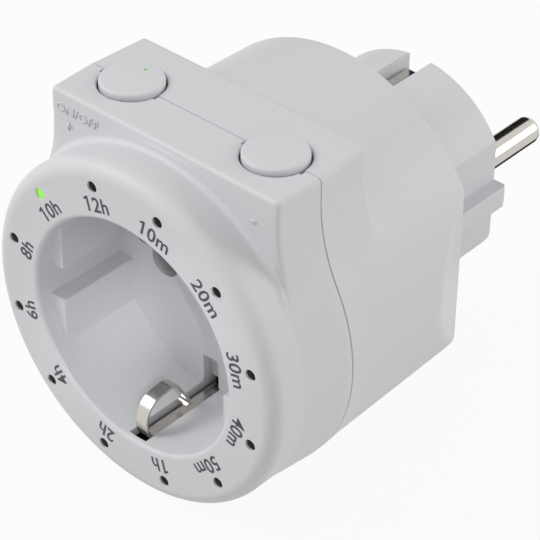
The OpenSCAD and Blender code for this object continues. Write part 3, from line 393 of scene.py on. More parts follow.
def ring_radius(s, p, y):
    """Radius of the round body at the place y: straight between waist, widest place, seam, collar and rim."""
    places = [-s.waist, -s.swell, -s.seam, -s.collar, -p.rim]
    return np.interp(y, places, [s.waist_r, s.swell_r, s.seam_r, s.collar_r, s.rim_r])


def housing_radius(theta, ring, half, top, corner, hollow):
    """Distance of the outline of ring and housing from the axis at the angle theta from straight up: the flat
    top, its rounded corner, the flat side, a hollow arc that touches the ring, and the ring beyond it."""
    a = np.abs(theta)
    sine, cosine = np.sin(a), np.cos(a)

    def far_side(x, z, r, sign):
        along = x * sine + z * cosine
        return along + sign * np.sqrt(np.maximum(along ** 2 - (x ** 2 + z ** 2 - r ** 2), 0))

    hollow_x = half + hollow
    hollow_z = np.sqrt((ring + hollow) ** 2 - hollow_x ** 2)
    on_top = a < np.arctan2(half, top)
    reach = np.where(on_top, top / np.maximum(cosine, TINY), half / np.maximum(sine, TINY))
    in_corner = (a > np.arctan2(half - corner, top)) & (a < np.arctan2(half, top - corner))
    reach = np.where(in_corner, far_side(half - corner, top - corner, corner, 1), reach)
    in_hollow = a > np.arctan2(half, hollow_z)
    reach = np.where(in_hollow, far_side(hollow_x, hollow_z, hollow, -1), reach)
    return np.where(a > np.arctan2(hollow_x, hollow_z), ring, np.maximum(reach, ring))


def angles(s, h):
    """Angles of the grid's columns: even steps, with closer ones at the housing's corners and hollows."""
    corner = math.atan2(h.half, h.top)
    hollow_end = math.atan2(h.half + h.hollow, h.half)
    round_corner = np.radians(np.linspace(-2.2, 2.2, 23))
    before, beyond, closest = 0.1, 0.06, 0.002
    even = np.linspace(0, np.pi, s.columns // 2 + 1)
    fine = np.concatenate([even, corner + round_corner,
                           np.linspace(corner + before, hollow_end + beyond, 36)])
    fine = np.unique(np.round(fine, 4))
    fine = fine[np.concatenate([[True], np.diff(fine) > closest])]
    fine[-1] = np.pi
    return np.concatenate([fine, 2 * np.pi - fine[-2:0:-1]])


def outline(s, p, h, theta, y, inset):
    """Radii of the ring and of the ring with its housing at the angles theta and the places y. The housing is
    widest at the seam and narrows evenly to both sides of it. The inset moves both inwards by the wall."""
    wall = h.wall if inset else 0
    ring = ring_radius(s, p, y) - inset
    half = np.interp(y, [-h.front, -s.seam, -h.rear], [h.half, h.half_seam, h.half_rear]) - wall
    corner = max(h.corner - wall, 0.2 * MM)
    return ring, housing_radius(theta, ring, half, h.top - wall, corner, h.hollow + wall)


def smoothstep(x):
    """Rises smoothly from 0 to 1 while x does: three times its square less twice its cube."""
    x = np.clip(x, 0, 1)
    return x * x * (3 - 2 * x)


def lerp(a, b, t):
    """The value that lies the share t of the way from a to b."""
    return a + (b - a) * t


def step_rows(s, p, h, theta, at, way, seam, inset, flank_rows=14):
    """Rows of one side of the housing, from the seam to the ring beyond its end face. Along the flank the
    radius is the housing's. A quarter ellipse rounds the edge, a flat falls to the ring, and a second, hollow
    quarter ellipse meets it. Where the housing fades into the ring at the sides, the rounding grows long and
    shallow, so that the edge runs out into the ring. way is -1 towards the socket face and +1 towards the
    plug, where the end face can lean: it moves back by the tangent of the lean times the depth below the
    top."""
    fade_rise, long_edge, long_foot, face_run = 1.1 * MM, 2.4 * MM, 1.2 * MM, 0.3 * MM
    most_share = 0.45
    ring, top = outline(s, p, h, theta, np.full_like(theta, at), inset)
    slope = math.tan(h.lean) if way > 0 else 0
    at = at + slope * np.clip(h.top - top * np.cos(theta), 0, h.top - h.half / 2)
    ring, top = outline(s, p, h, theta, at + 0 * theta, inset)
    high = np.maximum(top - ring, TINY)
    fade = smoothstep(high / fade_rise)
    edge_y = lerp(long_edge, h.edge, fade)
    edge_share = np.minimum(h.edge / high, most_share)
    face_y = lerp(long_foot, face_run, fade) + slope * high * np.abs(np.cos(theta)) * (1 - edge_share)
    foot = lerp(long_foot, h.foot, fade)
    foot_share = np.minimum(h.foot / high, most_share)
    turn = np.linspace(0, np.pi / 2, 8)[1:, None]
    steps = np.linspace(0, 1, 7)[1:, None]
    edge_start = at - way * edge_y
    flank = np.linspace(0, 1, flank_rows)[1:, None]
    y = [lerp(seam, edge_start, flank), edge_start + way * edge_y * np.sin(turn),
         at + way * face_y * steps, at + way * (face_y + foot * (1 - np.cos(turn)))]
    share = [1 + 0 * flank * theta, 1 - edge_share * (1 - np.cos(turn)),
             lerp(1 - edge_share, foot_share, steps), foot_share * (1 - np.sin(turn))]
    y, share = np.vstack([row + 0 * theta for row in y]), np.vstack([row + 0 * theta for row in share])
    ring, top = outline(s, p, h, theta, y, inset)
    return y, ring + share * (top - ring)


def stacked(theta, *parts):
    """Grid of points from pieces of (y, radius) rows, carried round the Y axis by the column angles."""
    y = np.vstack([np.atleast_2d(part[0]) + 0 * theta for part in parts])
    r = np.vstack([np.atleast_2d(part[1]) + 0 * theta for part in parts])
    return np.stack([r * np.sin(theta), y, r * np.cos(theta)], -1)


def signed(theta):
    """The angles from -pi to pi."""
    return np.where(theta > np.pi, theta - 2 * np.pi, theta)


def at_angles(profile):
    """(y, radius) rows of a profile that is the same all round."""
    profile = np.array(profile, float)
    return profile[:, :1], profile[:, 1:]


class TIMER_OT_front_shell(Operator):
    """Mould the front shell: the ring with its dial face, the socket recess and the housing's front"""

    bl_idname = "timer.front_shell"
    bl_label = "Front shell"

    def execute(self, context):
        scene = context.scene
        s, h, p = scene.timer_ring, scene.timer_housing, scene.timer_plug
        theta = angles(s, h)
        polar = signed(theta)
        seam, front = -s.seam, -s.front
        edge_r = s.waist_r - s.edge
        outer_y, outer_r = step_rows(s, p, h, polar, -h.front, -1, seam - s.groove_half, 0)
        last = outer_y[-1]
        neck = np.linspace(0, 1, 8)[1:, None]
        neck_y = lerp(last, front + s.edge, neck)
        lip_r = s.recess_r + s.lip
        inner_step = 0.15 * MM
        face = [(front, edge_r - inner_step), (front, lip_r + inner_step)]
        floor_y = front + s.recess
        wall = [(y, s.recess_r) for y in np.linspace(front + s.lip, floor_y, 9)[1:]]
        floor = [(floor_y, s.recess_r * share) for share in (0.99, 0.8, 0.5, 0.2, 0)]
        cup_r = s.recess_r + s.cup_wall
        cup_back = floor_y + s.floor
        inner_front = front + s.wall
        inner_y, inner_r = step_rows(s, p, h, polar, -h.front + h.wall, -1, seam, s.wall, flank_rows=6)
        inner_end = lerp(inner_y[-1], inner_front, np.linspace(0, 1, 4)[1:, None])
        seam_top = outline(s, p, h, polar, np.full_like(theta, seam), 0)[1]
        seam_in = outline(s, p, h, polar, np.full_like(theta, seam), s.wall)[1]
        pieces = [
            at_angles([(cup_back, 0), (cup_back, cup_r * 0.5), (cup_back, cup_r), (inner_front, cup_r)]),
            (inner_end[::-1], (ring_radius(s, p, inner_end) - s.wall)[::-1]),
            (inner_y[::-1], inner_r[::-1]),
            (np.full_like(theta, seam), seam_in),
            (np.full_like(theta, seam), seam_top - s.groove),
            (np.full_like(theta, seam - s.groove_half), seam_top),
            (outer_y, outer_r),
            (neck_y, ring_radius(s, p, neck_y)),
            at_angles(quarter(front + s.edge, edge_r, (0, s.edge), (-s.edge, 0), steps=10)[1:]),
            at_angles(face),
            at_angles(quarter(front + s.lip, lip_r, (-s.lip, 0), (0, -s.lip))),
            at_angles(wall),
            at_angles(floor),
        ]
        shell = linked("front_shell_skin", grid_mesh("front_shell_skin", stacked(theta, *pieces)))
        carved(shell, self.guides(s), "UNION")
        carved(shell, self.cutters(s, scene.timer_contacts) + button_wells(s, h))
        placed(smooth(shell), "housing", "shell", abs_plastic("ABS_shell", scene.timer_finishes.shell),
               "front_shell", "socket_floor")
        return {"FINISHED"}

    def guides(self, s):
        """Four guide blocks at the recess wall: each fills the corner between the wall, its inner face and
        the gap, as a bevelled prism that reaches into the wall."""
        pieces = []
        reach = s.recess_r + s.cup_wall / 2
        rise = math.sqrt(s.recess_r ** 2 - s.guide_half ** 2)
        for side in (-1, 1):
            for up in (-1, 1):
                outer = math.sqrt(reach ** 2 - s.guide_gap ** 2)
                top = math.sqrt(reach ** 2 - s.guide_half ** 2)
                angle = np.linspace(math.atan2(s.guide_gap, outer), math.atan2(top, s.guide_half), 9)
                arc = [(reach * math.cos(a), reach * math.sin(a)) for a in angle]
                section = np.array([(s.guide_half, rise), (s.guide_half, s.guide_gap)] + arc) * (side, up)
                piece = prism("guide", section, -s.front + s.guide_setback, -s.front + s.recess + s.floor / 2)
                bevel = piece.modifiers.new("Bevel", "BEVEL")
                bevel.width = 0.3 * MM
                bevel.segments = 3
                bevel.limit_method = "ANGLE"
                pieces.append(applied(piece))
        return pieces

    def cutters(self, s, c):
        """Light holes, contact holes, screw pockets and the slots of the earth clips."""
        front, floor = -s.front, -s.front + s.recess
        flare = 0.07 * MM
        over = 0.5 * MM
        pieces = []
        for index in range(len(LABELS)):
            angle = label_angle(index)
            centre = (s.light_ring_r * math.sin(angle), 0, s.light_ring_r * math.cos(angle))
            mouth_r = s.light_hole_r + flare
            profile = [(front - over, 0), (front - over, mouth_r)]
            profile += list(quarter(front + flare - TINY, mouth_r, (-flare, 0), (0, -flare), steps=4))
            profile += [(front + s.wall + over, s.light_hole_r), (front + s.wall + over, 0)]
            pieces.append(lathe("light_hole", profile, centre, columns=40))
        for side in (-1, 1):
            pieces.append(round_bar("contact_hole", floor - over, floor + s.floor + over, c.hole_r,
                                    (side * c.hole_x, 0, 0)))
        slots = ((c.slot_half, c.slot_front, c.slot_rear, c.slot_low, c.slot_high),
                 (c.foot_half, c.foot_front, c.foot_rear, c.foot_low, c.foot_high))
        for side in (-1, 1):
            pieces.append(round_bar("screw_pocket", floor - over, floor + c.screw_deep, c.screw_r,
                                    (-side * c.screw_x, 0, side * c.screw_z)))
            for half, slot_front, slot_rear, low, high in slots:
                corners = np.array([[-half, -slot_front, side * low], [half, -slot_rear, side * high]])
                pieces.append(block(corners.min(0), corners.max(0)))
        return pieces


def applied(piece):
    """The piece with its modifiers carried out."""
    mesh = bpy.data.meshes.new_from_object(piece.evaluated_get(bpy.context.evaluated_depsgraph_get()))
    piece.modifiers.clear()
    piece.data = mesh
    return piece


def prism(name, section, low, high):
    """A straight prism along Y over a section of (x, z) points."""
    count = len(section)
    x, z = section.T
    ends = [np.column_stack([x, np.full(count, y), z]) for y in (low, high)]
    index = np.arange(count)
    after = (index + 1) % count
    sides = np.stack([index, after, after + count, index + count], -1).tolist()
    mesh = bpy.data.meshes.new(name)
    mesh.from_pydata(np.vstack(ends).tolist(), [], sides + [list(index[::-1]), list(index + count)])
    if (x * np.roll(z, -1) - z * np.roll(x, -1)).sum() > 0:
        mesh.flip_normals()
    mesh.update()
    return linked(name, mesh)


def button_wells(s, h):
    """Cutters of the two button wells, with rounded lips, and of the notches where the seam meets them."""
    pieces = []
    radius, lip = h.button_r + h.gap, 0.32 * MM
    notch_reach, notch_deep, notch_front, notch_rear = 0.45 * MM, 0.7 * MM, 1.1 * MM, 0.15 * MM
    low, high = h.top - h.wall - 1.0 * MM, h.top + 0.6 * MM
    profile = [(low, 0), (low, radius)]
    profile += list(quarter(h.top - lip + TINY, radius + lip, (0, -lip), (lip, 0), steps=5))
    profile += [(high, radius + lip), (high, 0)]
    for side in (-1, 1):
        centre = (side * h.button_x, -h.button_at, 0)
        pieces.append(lathe("button_well", profile, centre, upright=True, columns=96))
        reach = radius + notch_reach
        pieces.append(block((side * h.button_x - reach, -s.seam - notch_front, h.top - notch_deep),
                            (side * h.button_x + reach, -s.seam + notch_rear, high)))
    return pieces


def label_angle(index):
    """Angle of a light and its label, clockwise from straight up, seen from the front."""
    return math.radians(30 * index - 15)


def side_limit(p, theta, y, inset):
    """Distance of the side flats from the axis at the angle theta and the place y."""
    half = p.flat_half + (-y - p.rim) * math.tan(p.flat_angle) - inset / math.cos(p.flat_angle)
    return half / np.maximum(np.abs(np.sin(theta)), TINY)


def soft_least(a, b, soft):
    """The lesser of two radii, with the edge between them rounded over the width soft."""
    share = np.clip(0.5 + (b - a) / (2 * soft), 0, 1)
    return lerp(b, a, share) - soft * share * (1 - share)


class TIMER_OT_rear_shell(Operator):
    """Mould the rear shell: the tapering body with its side flats, the housing's rear and the plug nose"""

    bl_idname = "timer.rear_shell"
    bl_label = "Rear shell"

    def execute(self, context):
        scene = context.scene
        s, h, p = scene.timer_ring, scene.timer_housing, scene.timer_plug
        theta = angles(s, h)
        polar = signed(theta)
        seam, rim = -s.seam, -p.rim
        outer_y, outer_r = step_rows(s, p, h, polar, -h.rear, 1, seam + s.groove_half, 0, flank_rows=12)
        body = np.linspace(0, 1, 26)[1:, None]
        body_y = lerp(outer_y[-1], rim - p.rim_edge, body)
        body_r = self.body(s, p, polar, body_y, 0)
        end_r = self.body(s, p, polar, np.full_like(theta, rim - p.rim_edge), 0)
        turn = np.linspace(0, np.pi / 2, 7)[1:, None]
        rim_y = rim - p.rim_edge * (1 - np.sin(turn))
        rim_r = end_r - p.rim_edge * (1 - np.cos(turn))
        apron = 1.5 * MM
        nose = [(rim, p.nose_r + apron), (rim, p.nose_r)]
        nose += [(y, p.nose_r) for y in np.linspace(rim, -p.nose_edge, 14)[1:-1]]
        nose += list(quarter(-p.nose_edge, p.nose_r - p.nose_edge, (0, p.nose_edge), (p.nose_edge, 0)))
        nose += [(0, p.nose_r * share) for share in (0.9, 0.6, 0.3, 0)]
        hollow_r = p.notch_floor - p.notch_wall
        inside = [(-p.end_wall, hollow_r * share) for share in (0, 0.5, 1)] + [(rim - s.wall, hollow_r)]
        inner_y, inner_r = step_rows(s, p, h, polar, -h.rear - h.wall, 1, seam, s.wall, flank_rows=6)
        inner_body = lerp(inner_y[-1], rim - s.wall, np.linspace(0, 1, 12)[1:, None])
        inner_body_r = self.body(s, p, polar, inner_body, s.wall)
        seam_top = outline(s, p, h, polar, np.full_like(theta, seam), 0)[1]
        seam_in = outline(s, p, h, polar, np.full_like(theta, seam), s.wall)[1]
        pieces = [
            at_angles(inside),
            (inner_body[::-1], inner_body_r[::-1]),
            (inner_y[::-1], inner_r[::-1]),
            (np.full_like(theta, seam), seam_in),
            (np.full_like(theta, seam), seam_top - s.groove),
            (np.full_like(theta, seam + s.groove_half), seam_top),
            (outer_y, outer_r),
            (body_y, body_r),
            (rim_y, rim_r),
            at_angles(nose),
        ]
        shell = linked("rear_shell_skin", grid_mesh("rear_shell_skin", stacked(theta, *pieces)))
        tubes = [self.screw_tube(s, p, k) for k in range(4)]
        carved(shell, tubes, "UNION")
        carved(shell, self.cutters(s, p) + button_wells(s, h))
        placed(smooth(shell), "housing", "shell", abs_plastic("ABS_shell", scene.timer_finishes.shell),
               "rear_shell", "plug_nose")
        return {"FINISHED"}

    def body(self, s, p, theta, y, inset):
        """Radius of the round body, cut by the side flats with a softened edge."""
        ring = ring_radius(s, p, y) - inset
        soft_edge = 0.45 * MM
        return soft_least(ring, side_limit(p, theta, y, inset), soft_edge)

    def screw_place(self, p, index):
        """Middle of one of the four housing screws, which stand halfway between the axes."""
        angle = math.radians(45 + 90 * index)
        return (p.screw_ring_r * math.sin(angle), 0, p.screw_ring_r * math.cos(angle))

    def screw_tube(self, s, p, index):
        """The tube round a housing screw, which stops short of the seam and of the rim's outer face."""
        seam_gap, rim_gap = 5 * MM, 1 * MM
        place = self.screw_place(p, index)
        return round_bar("screw_tube", -s.seam + seam_gap, -p.rim - rim_gap, p.tube_r, place)

    def cutters(self, s, p):
        """Side cuts that leave a rib, the earth notches, the pin seats and the screw pockets."""
        over = 0.6 * MM
        pieces = []
        for side in (-1, 1):
            for up in (-1, 1):
                corners = np.array([[side * p.cut, -p.rim, up * p.rib],
                                    [side * (p.nose_r + over), over, up * (p.nose_r + over)]])
                pieces.append(block(corners.min(0), corners.max(0)))
            corners = np.array([[-p.notch_half, -p.rim - s.wall - over, side * p.notch_floor],
                                [p.notch_half, over, side * (p.nose_r + 0.1 * MM)]])
            pieces.append(block(corners.min(0), corners.max(0)))
            corners = np.array([[-p.notch_half, -p.strap_seat, side * (p.notch_floor - p.strap_drop)],
                                [p.notch_half, over, side * (p.notch_floor + over)]])
            pieces.append(block(corners.min(0), corners.max(0)))
            pieces.append(round_bar("pin_seat", -p.end_wall - over, over, p.seat_r, (side * p.pin_x, 0, 0)))
        flare = 0.2 * MM
        for index in range(4):
            mouth_r = p.pocket_r + flare
            profile = [(-p.pocket_end, 0), (-p.pocket_end, p.pocket_r)]
            profile += list(quarter(-p.rim - flare + TINY, mouth_r, (0, -flare), (flare, 0), steps=4))
            profile += [(-p.rim + over, mouth_r), (-p.rim + over, 0)]
            pieces.append(lathe("screw_pocket", profile, self.screw_place(p, index)))
        return pieces


class TIMER_OT_buttons(Operator):
    """Mould the two button caps with their flanges and the status light"""

    bl_idname = "timer.buttons"
    bl_label = "Buttons"

    def execute(self, context):
        scene = context.scene
        h, finishes = scene.timer_housing, scene.timer_finishes
        finish = abs_plastic("ABS_button", finishes.button)
        edge = 0.42 * MM
        crown = 0.10 * MM
        light_deep, light_sunk, light_dome = 1.4 * MM, 0.09 * MM, 0.03 * MM
        shoulder = h.button_low + h.flange
        flange_r = h.button_r + h.flange_reach
        profile = [(h.button_low, 0), (h.button_low, flange_r), (shoulder, flange_r)]
        profile += [(shoulder, h.button_r), (h.button_up - crown - edge - MM, h.button_r)]
        profile += list(quarter(h.button_up - crown - edge, h.button_r - edge, (0, edge), (edge, 0)))
        radii = (h.button_r - edge) * np.linspace(1, 0, 7)[1:]
        profile += [(h.button_up - crown * (r / (h.button_r - edge)) ** 2, r) for r in radii]
        for side, name in ((-1, "button_plus"), (1, "button_minus")):
            centre = (side * h.button_x, -h.button_at, 0)
            cap = lathe(name + "_cap", profile, centre, upright=True, columns=96)
            if side < 0:
                foot = h.button_up - light_deep
                centre = (-h.button_x, -h.button_at + h.status_back, 0)
                hole = round_bar("status_hole", foot, h.button_up + MM, h.status_r, centre,
                                 upright=True, columns=24)
                carved(cap, [hole])
                top, lens_r = h.button_up - light_sunk, h.status_r * 0.97
                lens = [(foot, 0), (foot, lens_r), (top, lens_r),
                        (top + light_dome, h.status_r * 0.6), (top + light_dome + 0.01 * MM, 0)]
                light = lathe("status_lens", lens, centre, upright=True, columns=24)
                placed(smooth(light), "button_plus", "status_green",
                       lit_lens("Status_lens", finishes.status, glow=0.35), "status_light")
            placed(smooth(cap), name, "button", finish, name)
        return {"FINISHED"}


class TIMER_OT_contacts(Operator):
    """Bend the earth clips and straps and turn the plug pins"""

    bl_idname = "timer.contacts"
    bl_label = "Pins and earth contacts"

    def execute(self, context):
        scene = context.scene
        p, c = scene.timer_plug, scene.timer_contacts
        clip_edge, strap_edge = 0.12 * MM, 0.15 * MM
        nickel = nickel_plate("Nickel_plate", scene.timer_finishes.nickel)
        strap = bent(np.array(STRAP_LINE) * MM, np.array(STRAP_BENDS) * MM)
        behind, away = np.array(CLIP_LINE).T * MM
        for flip, name, setback in ((1, "top", c.clip_setback), (-1, "bottom", 0)):
            corners = np.column_stack([c.clip_front - setback - behind, away])
            corners = np.vstack([(CLIP_ROOT * MM, away[0]), corners])
            clip = bent(corners, np.array(CLIP_BENDS) * MM)
            for node, kind, line, half, thickness, edge in (
                    ("earth_clip_" + name, "_spring", clip, c.clip_half, c.clip_thick, clip_edge),
                    ("earth_strap_" + name, "_band", strap, c.strap_half, c.strap_thick, strap_edge)):
                piece = strip(node + kind, line, half, thickness, edge, flip)
                placed(smooth(piece, angle=50), "housing", "nickel", nickel, node)
        profile = [(-p.tail, 0), (-p.tail, p.tail_r), (-p.tail_step, p.tail_r), (-p.tail_step, p.pin_r)]
        profile += [(-p.collar, p.pin_r), (-p.collar, p.collar_r), (-p.end_wall, p.collar_r)]
        profile += [(-p.end_wall, p.root_r), (-p.root, p.root_r)]
        profile += [(0, p.pin_r), (p.pin_len / 2, p.pin_r), (p.pin_len - p.pin_tip, p.pin_r)]
        tip = quarter(p.pin_len - p.pin_tip, p.pin_r - p.pin_tip, (0, p.pin_tip), (p.pin_tip, 0), steps=9)
        profile += list(tip[1:]) + [(p.pin_len, 0)]
        for side, name in ((-1, "pin_left"), (1, "pin_right")):
            pin = lathe(name + "_turned", profile, (side * p.pin_x, 0, 0), columns=96)
            finish = turned_nickel("Nickel_pin", scene.timer_finishes.nickel)
            placed(smooth(pin, angle=30), "housing", "nickel", finish, name)
        return {"FINISHED"}


class TIMER_OT_lights(Operator):
    """Cast the twelve lens domes behind the dial holes"""

    bl_idname = "timer.lights"
    bl_label = "Dial lights"

    def execute(self, context):
        scene = context.scene
        s, finishes = scene.timer_ring, scene.timer_finishes
        # The off lenses are near black: partly their tint, partly painted shade of the light holes
        dark = dark_lens("Lens_dark")
        lit = lit_lens("Lens_lit", finishes.lit, finishes.lit_glow)
        radius, dome = 0.91 * MM, 0.25 * MM
        board_gap, sunk = 3 * MM, 0.16 * MM
        base = -s.front + s.wall + board_gap
        top = -s.front + sunk
        for index, label in enumerate(LABELS):
            on = label == LIT_LABEL
            angle = label_angle(index)
            centre = (s.light_ring_r * math.sin(angle), 0, s.light_ring_r * math.cos(angle))
            profile = [(base, 0), (base, radius)]
            profile += list(quarter(top + dome, 0, (0, radius), (-dome, 0), steps=8))
            lens = lathe("lens_" + label, profile, centre, columns=32)
            nodes = ["light_on"] if on else ["lights_off"]
            placed(smooth(lens), "housing", "lens_lit" if on else "lens_dark", lit if on else dark, *nodes)
        return {"FINISHED"}


def lettering(name, words, size, stretch, thickness, weight):
    """A word in the built-in type as one centred mesh of the given thickness. The weight moves the outlines
    outwards."""
    curve = bpy.data.curves.new(name, "FONT")
    curve.body = words
    curve.size = size
    curve.extrude = thickness / 2
    curve.offset = weight
    curve.align_x = "CENTER"
    curve.align_y = "CENTER"
    curve.space_character = 1.04
    curve.resolution_u = 4
    holder = linked(name, curve)
    mesh = bpy.data.meshes.new_from_object(holder.evaluated_get(bpy.context.evaluated_depsgraph_get()))
    bpy.data.objects.remove(holder)
    points = np.empty(len(mesh.vertices) * 3)
    mesh.vertices.foreach_get("co", points)
    points = points.reshape(-1, 3)
    if words.startswith("1"):
        points = flagged(mesh, points, size, thickness)
    middle = (points[:, :2].min(0) + points[:, :2].max(0)) / 2
    points[:, :2] -= middle
    points[:, 0] *= stretch
    mesh.vertices.foreach_set("co", points.ravel())
    mesh.update()
    return mesh


# Corners of the figure one's upstroke, as shares of the type size from the top left of its stem
FLAG_SHARES = ((0.02, 0), (0.02, -0.12), (-0.13, -0.2), (-0.17, -0.115))


def flagged(mesh, points, size, thickness):
    """Adds the upstroke that the built-in figure one lacks, a slanted bar left of the top of the leading
    stem, and returns all points."""
    left = points[:, 0].min()
    stem = 0.06 * size
    top = points[points[:, 0] < left + stem, 1].max()
    stroke = np.array(FLAG_SHARES) * size + (left, top)
    added = np.vstack([np.column_stack([stroke, np.full(4, z)]) for z in (-thickness / 2, thickness / 2)])
    faces = np.array([[0, 1, 2, 3], [7, 6, 5, 4], [1, 0, 4, 5], [2, 1, 5, 6], [3, 2, 6, 7], [0, 3, 7, 4]])
    build = bmesh.new()
    build.from_mesh(mesh)
    corners = [build.verts.new(point) for point in added]
    for face in faces:
        build.faces.new([corners[k] for k in face])
    build.to_mesh(mesh)
    build.free()
    return np.vstack([points, added])


def laid(mesh, place, right, up, out):
    """The mesh turned so that its x, y and z run right, up and out, at the place."""
    matrix = Matrix((right, up, out)).transposed().to_4x4()
    matrix.translation = place
    mesh.transform(matrix)
    mesh.update()
    return mesh


class TIMER_OT_marks(Operator):
    """Print the time labels on the dial and raise the signs beside the buttons"""

    bl_idname = "timer.marks"
    bl_label = "Labels and signs"

    def execute(self, context):
        scene = context.scene
        s, h, finishes = scene.timer_ring, scene.timer_housing, scene.timer_finishes
        ink = pad_print("Pad_print", finishes.print)
        film, raised, in_front = 0.05 * MM, 0.3 * MM, 3 * MM
        out = Vector((0, -1, 0))
        for index, label in enumerate(LABELS):
            angle = label_angle(index)
            up = Vector((math.sin(angle), 0, math.cos(angle)))
            right = Vector((math.cos(angle), 0, -math.sin(angle)))
            mesh = lettering("label_" + label, label, s.label_size, stretch=1.0, thickness=film,
                             weight=s.label_weight)
            laid(mesh, up * s.label_r + out * s.front, right, up, out)
            placed(linked("label_" + label, mesh), "housing", "dark_plastic", ink)
        plastic = abs_plastic("ABS_shell", finishes.shell)
        shell = bpy.data.objects["front_shell_skin"]
        for name, words, size, stretch, x, z in SIGNS:
            mesh = lettering(name, words, size * MM, stretch, thickness=0, weight=0.01 * MM)
            place = Vector((x * MM, -h.front - in_front, z * MM))
            laid(mesh, place, Vector((1, 0, 0)), Vector((0, 0, 1)), out)
            sign = linked(name, mesh)
            wrap = sign.modifiers.new("Onto the face", "SHRINKWRAP")
            wrap.wrap_method = "PROJECT"
            wrap.use_project_y = True
            wrap.target = shell
            thick = sign.modifiers.new("Thickness", "SOLIDIFY")
            thick.thickness = raised
            thick.offset = 0
            placed(applied(sign), "housing", "shell", plastic)
        return {"FINISHED"}


def add_node(tree, kind, inputs=None, links=None, **settings):
    """Adds a node with its settings, its socket values and its links from (node, socket) pairs."""
    node = tree.nodes.new(kind)
    for key, value in settings.items():
        setattr(node, key, value)
    for key, value in (inputs or {}).items():
        node.inputs[key].default_value = value
    for key, (source, socket) in (links or {}).items():
        tree.links.new(source.outputs[socket], node.inputs[key])
    return node


def fresh_material(name):
    """(material, tree, surface shader, texture coordinates) of a new or emptied material."""
    material = bpy.data.materials.get(name) or bpy.data.materials.new(name)
    material.use_nodes = True
    tree = material.node_tree
    tree.nodes.clear()
    shader = add_node(tree, "ShaderNodeBsdfPrincipled")
    add_node(tree, "ShaderNodeOutputMaterial", links={"Surface": (shader, "BSDF")})
    place = add_node(tree, "ShaderNodeTexCoord")
    return material, tree, shader, place


# Height of the grain that lifts a moulded or rolled surface
GRAIN_HEIGHT = 0.02 * MM


def varied(tree, place, shader, colour, spread, grain, bump, roughness, swing, stretch=(1, 1, 1)):
    """Common ground of every finish: a noise of the given grain, in metres, moves the colour by the spread
    and the roughness by the swing, and lifts the surface by a bump. A stretch above one shortens the grain
    along its axis, and one below lengthens it."""
    scaled = add_node(tree, "ShaderNodeMapping", {"Scale": tuple(v / grain for v in stretch)},
                      {"Vector": (place, "Object")})
    noise = add_node(tree, "ShaderNodeTexNoise", {"Scale": 1.0, "Detail": 3.0, "Roughness": 0.55},
                     {"Vector": (scaled, "Vector")})
    ramp = add_node(tree, "ShaderNodeValToRGB", links={"Fac": (noise, "Fac")})
    ramp.color_ramp.elements[0].position = 0.3
    ramp.color_ramp.elements[1].position = 0.7
    ramp.color_ramp.elements[0].color = (*[c * (1 - spread) for c in colour], 1)
    ramp.color_ramp.elements[1].color = (*[min(c * (1 + spread), 1) for c in colour], 1)
    tree.links.new(ramp.outputs["Color"], shader.inputs["Base Color"])
    gloss = add_node(tree, "ShaderNodeMapRange", {"To Min": roughness - swing, "To Max": roughness + swing},
                     {"Value": (noise, "Fac")})
    tree.links.new(gloss.outputs["Result"], shader.inputs["Roughness"])
    if bump:
        lift = add_node(tree, "ShaderNodeBump", {"Strength": bump, "Distance": GRAIN_HEIGHT},
                        {"Height": (noise, "Fac")})
        tree.links.new(lift.outputs["Normal"], shader.inputs["Normal"])


def shown(tree, node, socket):
    """Leads the node's socket to the material's surface in place of what was there."""
    output = next(candidate for candidate in tree.nodes if candidate.type == "OUTPUT_MATERIAL")
    tree.links.new(node.outputs[socket], output.inputs["Surface"])


def abs_plastic(name, colour):
    """Acrylonitrile butadiene styrene from a finely sparked mould: an even light grey with a soft satin sheen
    and a grain of about 0.25 mm that only just breaks up the highlight."""
    material, tree, shader, place = fresh_material(name)
    varied(tree, place, shader, colour, spread=0.008, grain=0.25 * MM, bump=0.10, roughness=0.46, swing=0.04)
    shader.inputs["IOR"].default_value = 1.5
    shader.inputs["Specular IOR Level"].default_value = 0.35
    return material


def nickel_plate(name, colour):
    """Nickel plate over punched strip: a warm, nearly mirror-like grey with faint rolling lines along it."""
    material, tree, shader, place = fresh_material(name)
    varied(tree, place, shader, colour, spread=0.05, grain=0.35 * MM, bump=0.15, roughness=0.17, swing=0.06,
           stretch=(4, 0.4, 0.4))
    shader.inputs["Metallic"].default_value = 1.0
    return material


def turned_nickel(name, colour):
    """Nickel plate over turned brass: bright, with hair-fine rings round the pin."""
    material, tree, shader, place = fresh_material(name)
    varied(tree, place, shader, colour, spread=0.03, grain=0.30 * MM, bump=0.12, roughness=0.14, swing=0.04,
           stretch=(0.2, 3, 0.2))
    shader.inputs["Metallic"].default_value = 1.0
    return material


def lit_lens(name, colour, glow):
    """Tinted clear epoxy with the chip alight behind it: a strong colour that glows evenly under a gloss."""
    material, tree, shader, place = fresh_material(name)
    varied(tree, place, shader, colour, spread=0.06, grain=0.4 * MM, bump=0, roughness=0.2, swing=0.03)
    shader.inputs["Emission Color"].default_value = (*colour, 1)
    shader.inputs["Emission Strength"].default_value = glow
    return material


def dark_lens(name):
    """Tinted epoxy that is off, deep in a black mask: nearly black, with hardly a gleam. The near-black colour
    is partly the epoxy's own tint and partly painted shade of a deep hole, for the lens sits only just behind
    the dial face.
    """
    material, tree, shader, place = fresh_material(name)
    varied(tree, place, shader, linear("#080908"), spread=0.1, grain=0.4 * MM, bump=0, roughness=0.35,
           swing=0.04)
    shader.inputs["Specular IOR Level"].default_value = 0.1
    return material


def pad_print(name, colour):
    """Pad-printed ink: a thin, dull, dark grey film."""
    material, tree, shader, place = fresh_material(name)
    varied(tree, place, shader, colour, spread=0.05, grain=0.2 * MM, bump=0.05, roughness=0.6, swing=0.05)
    return material


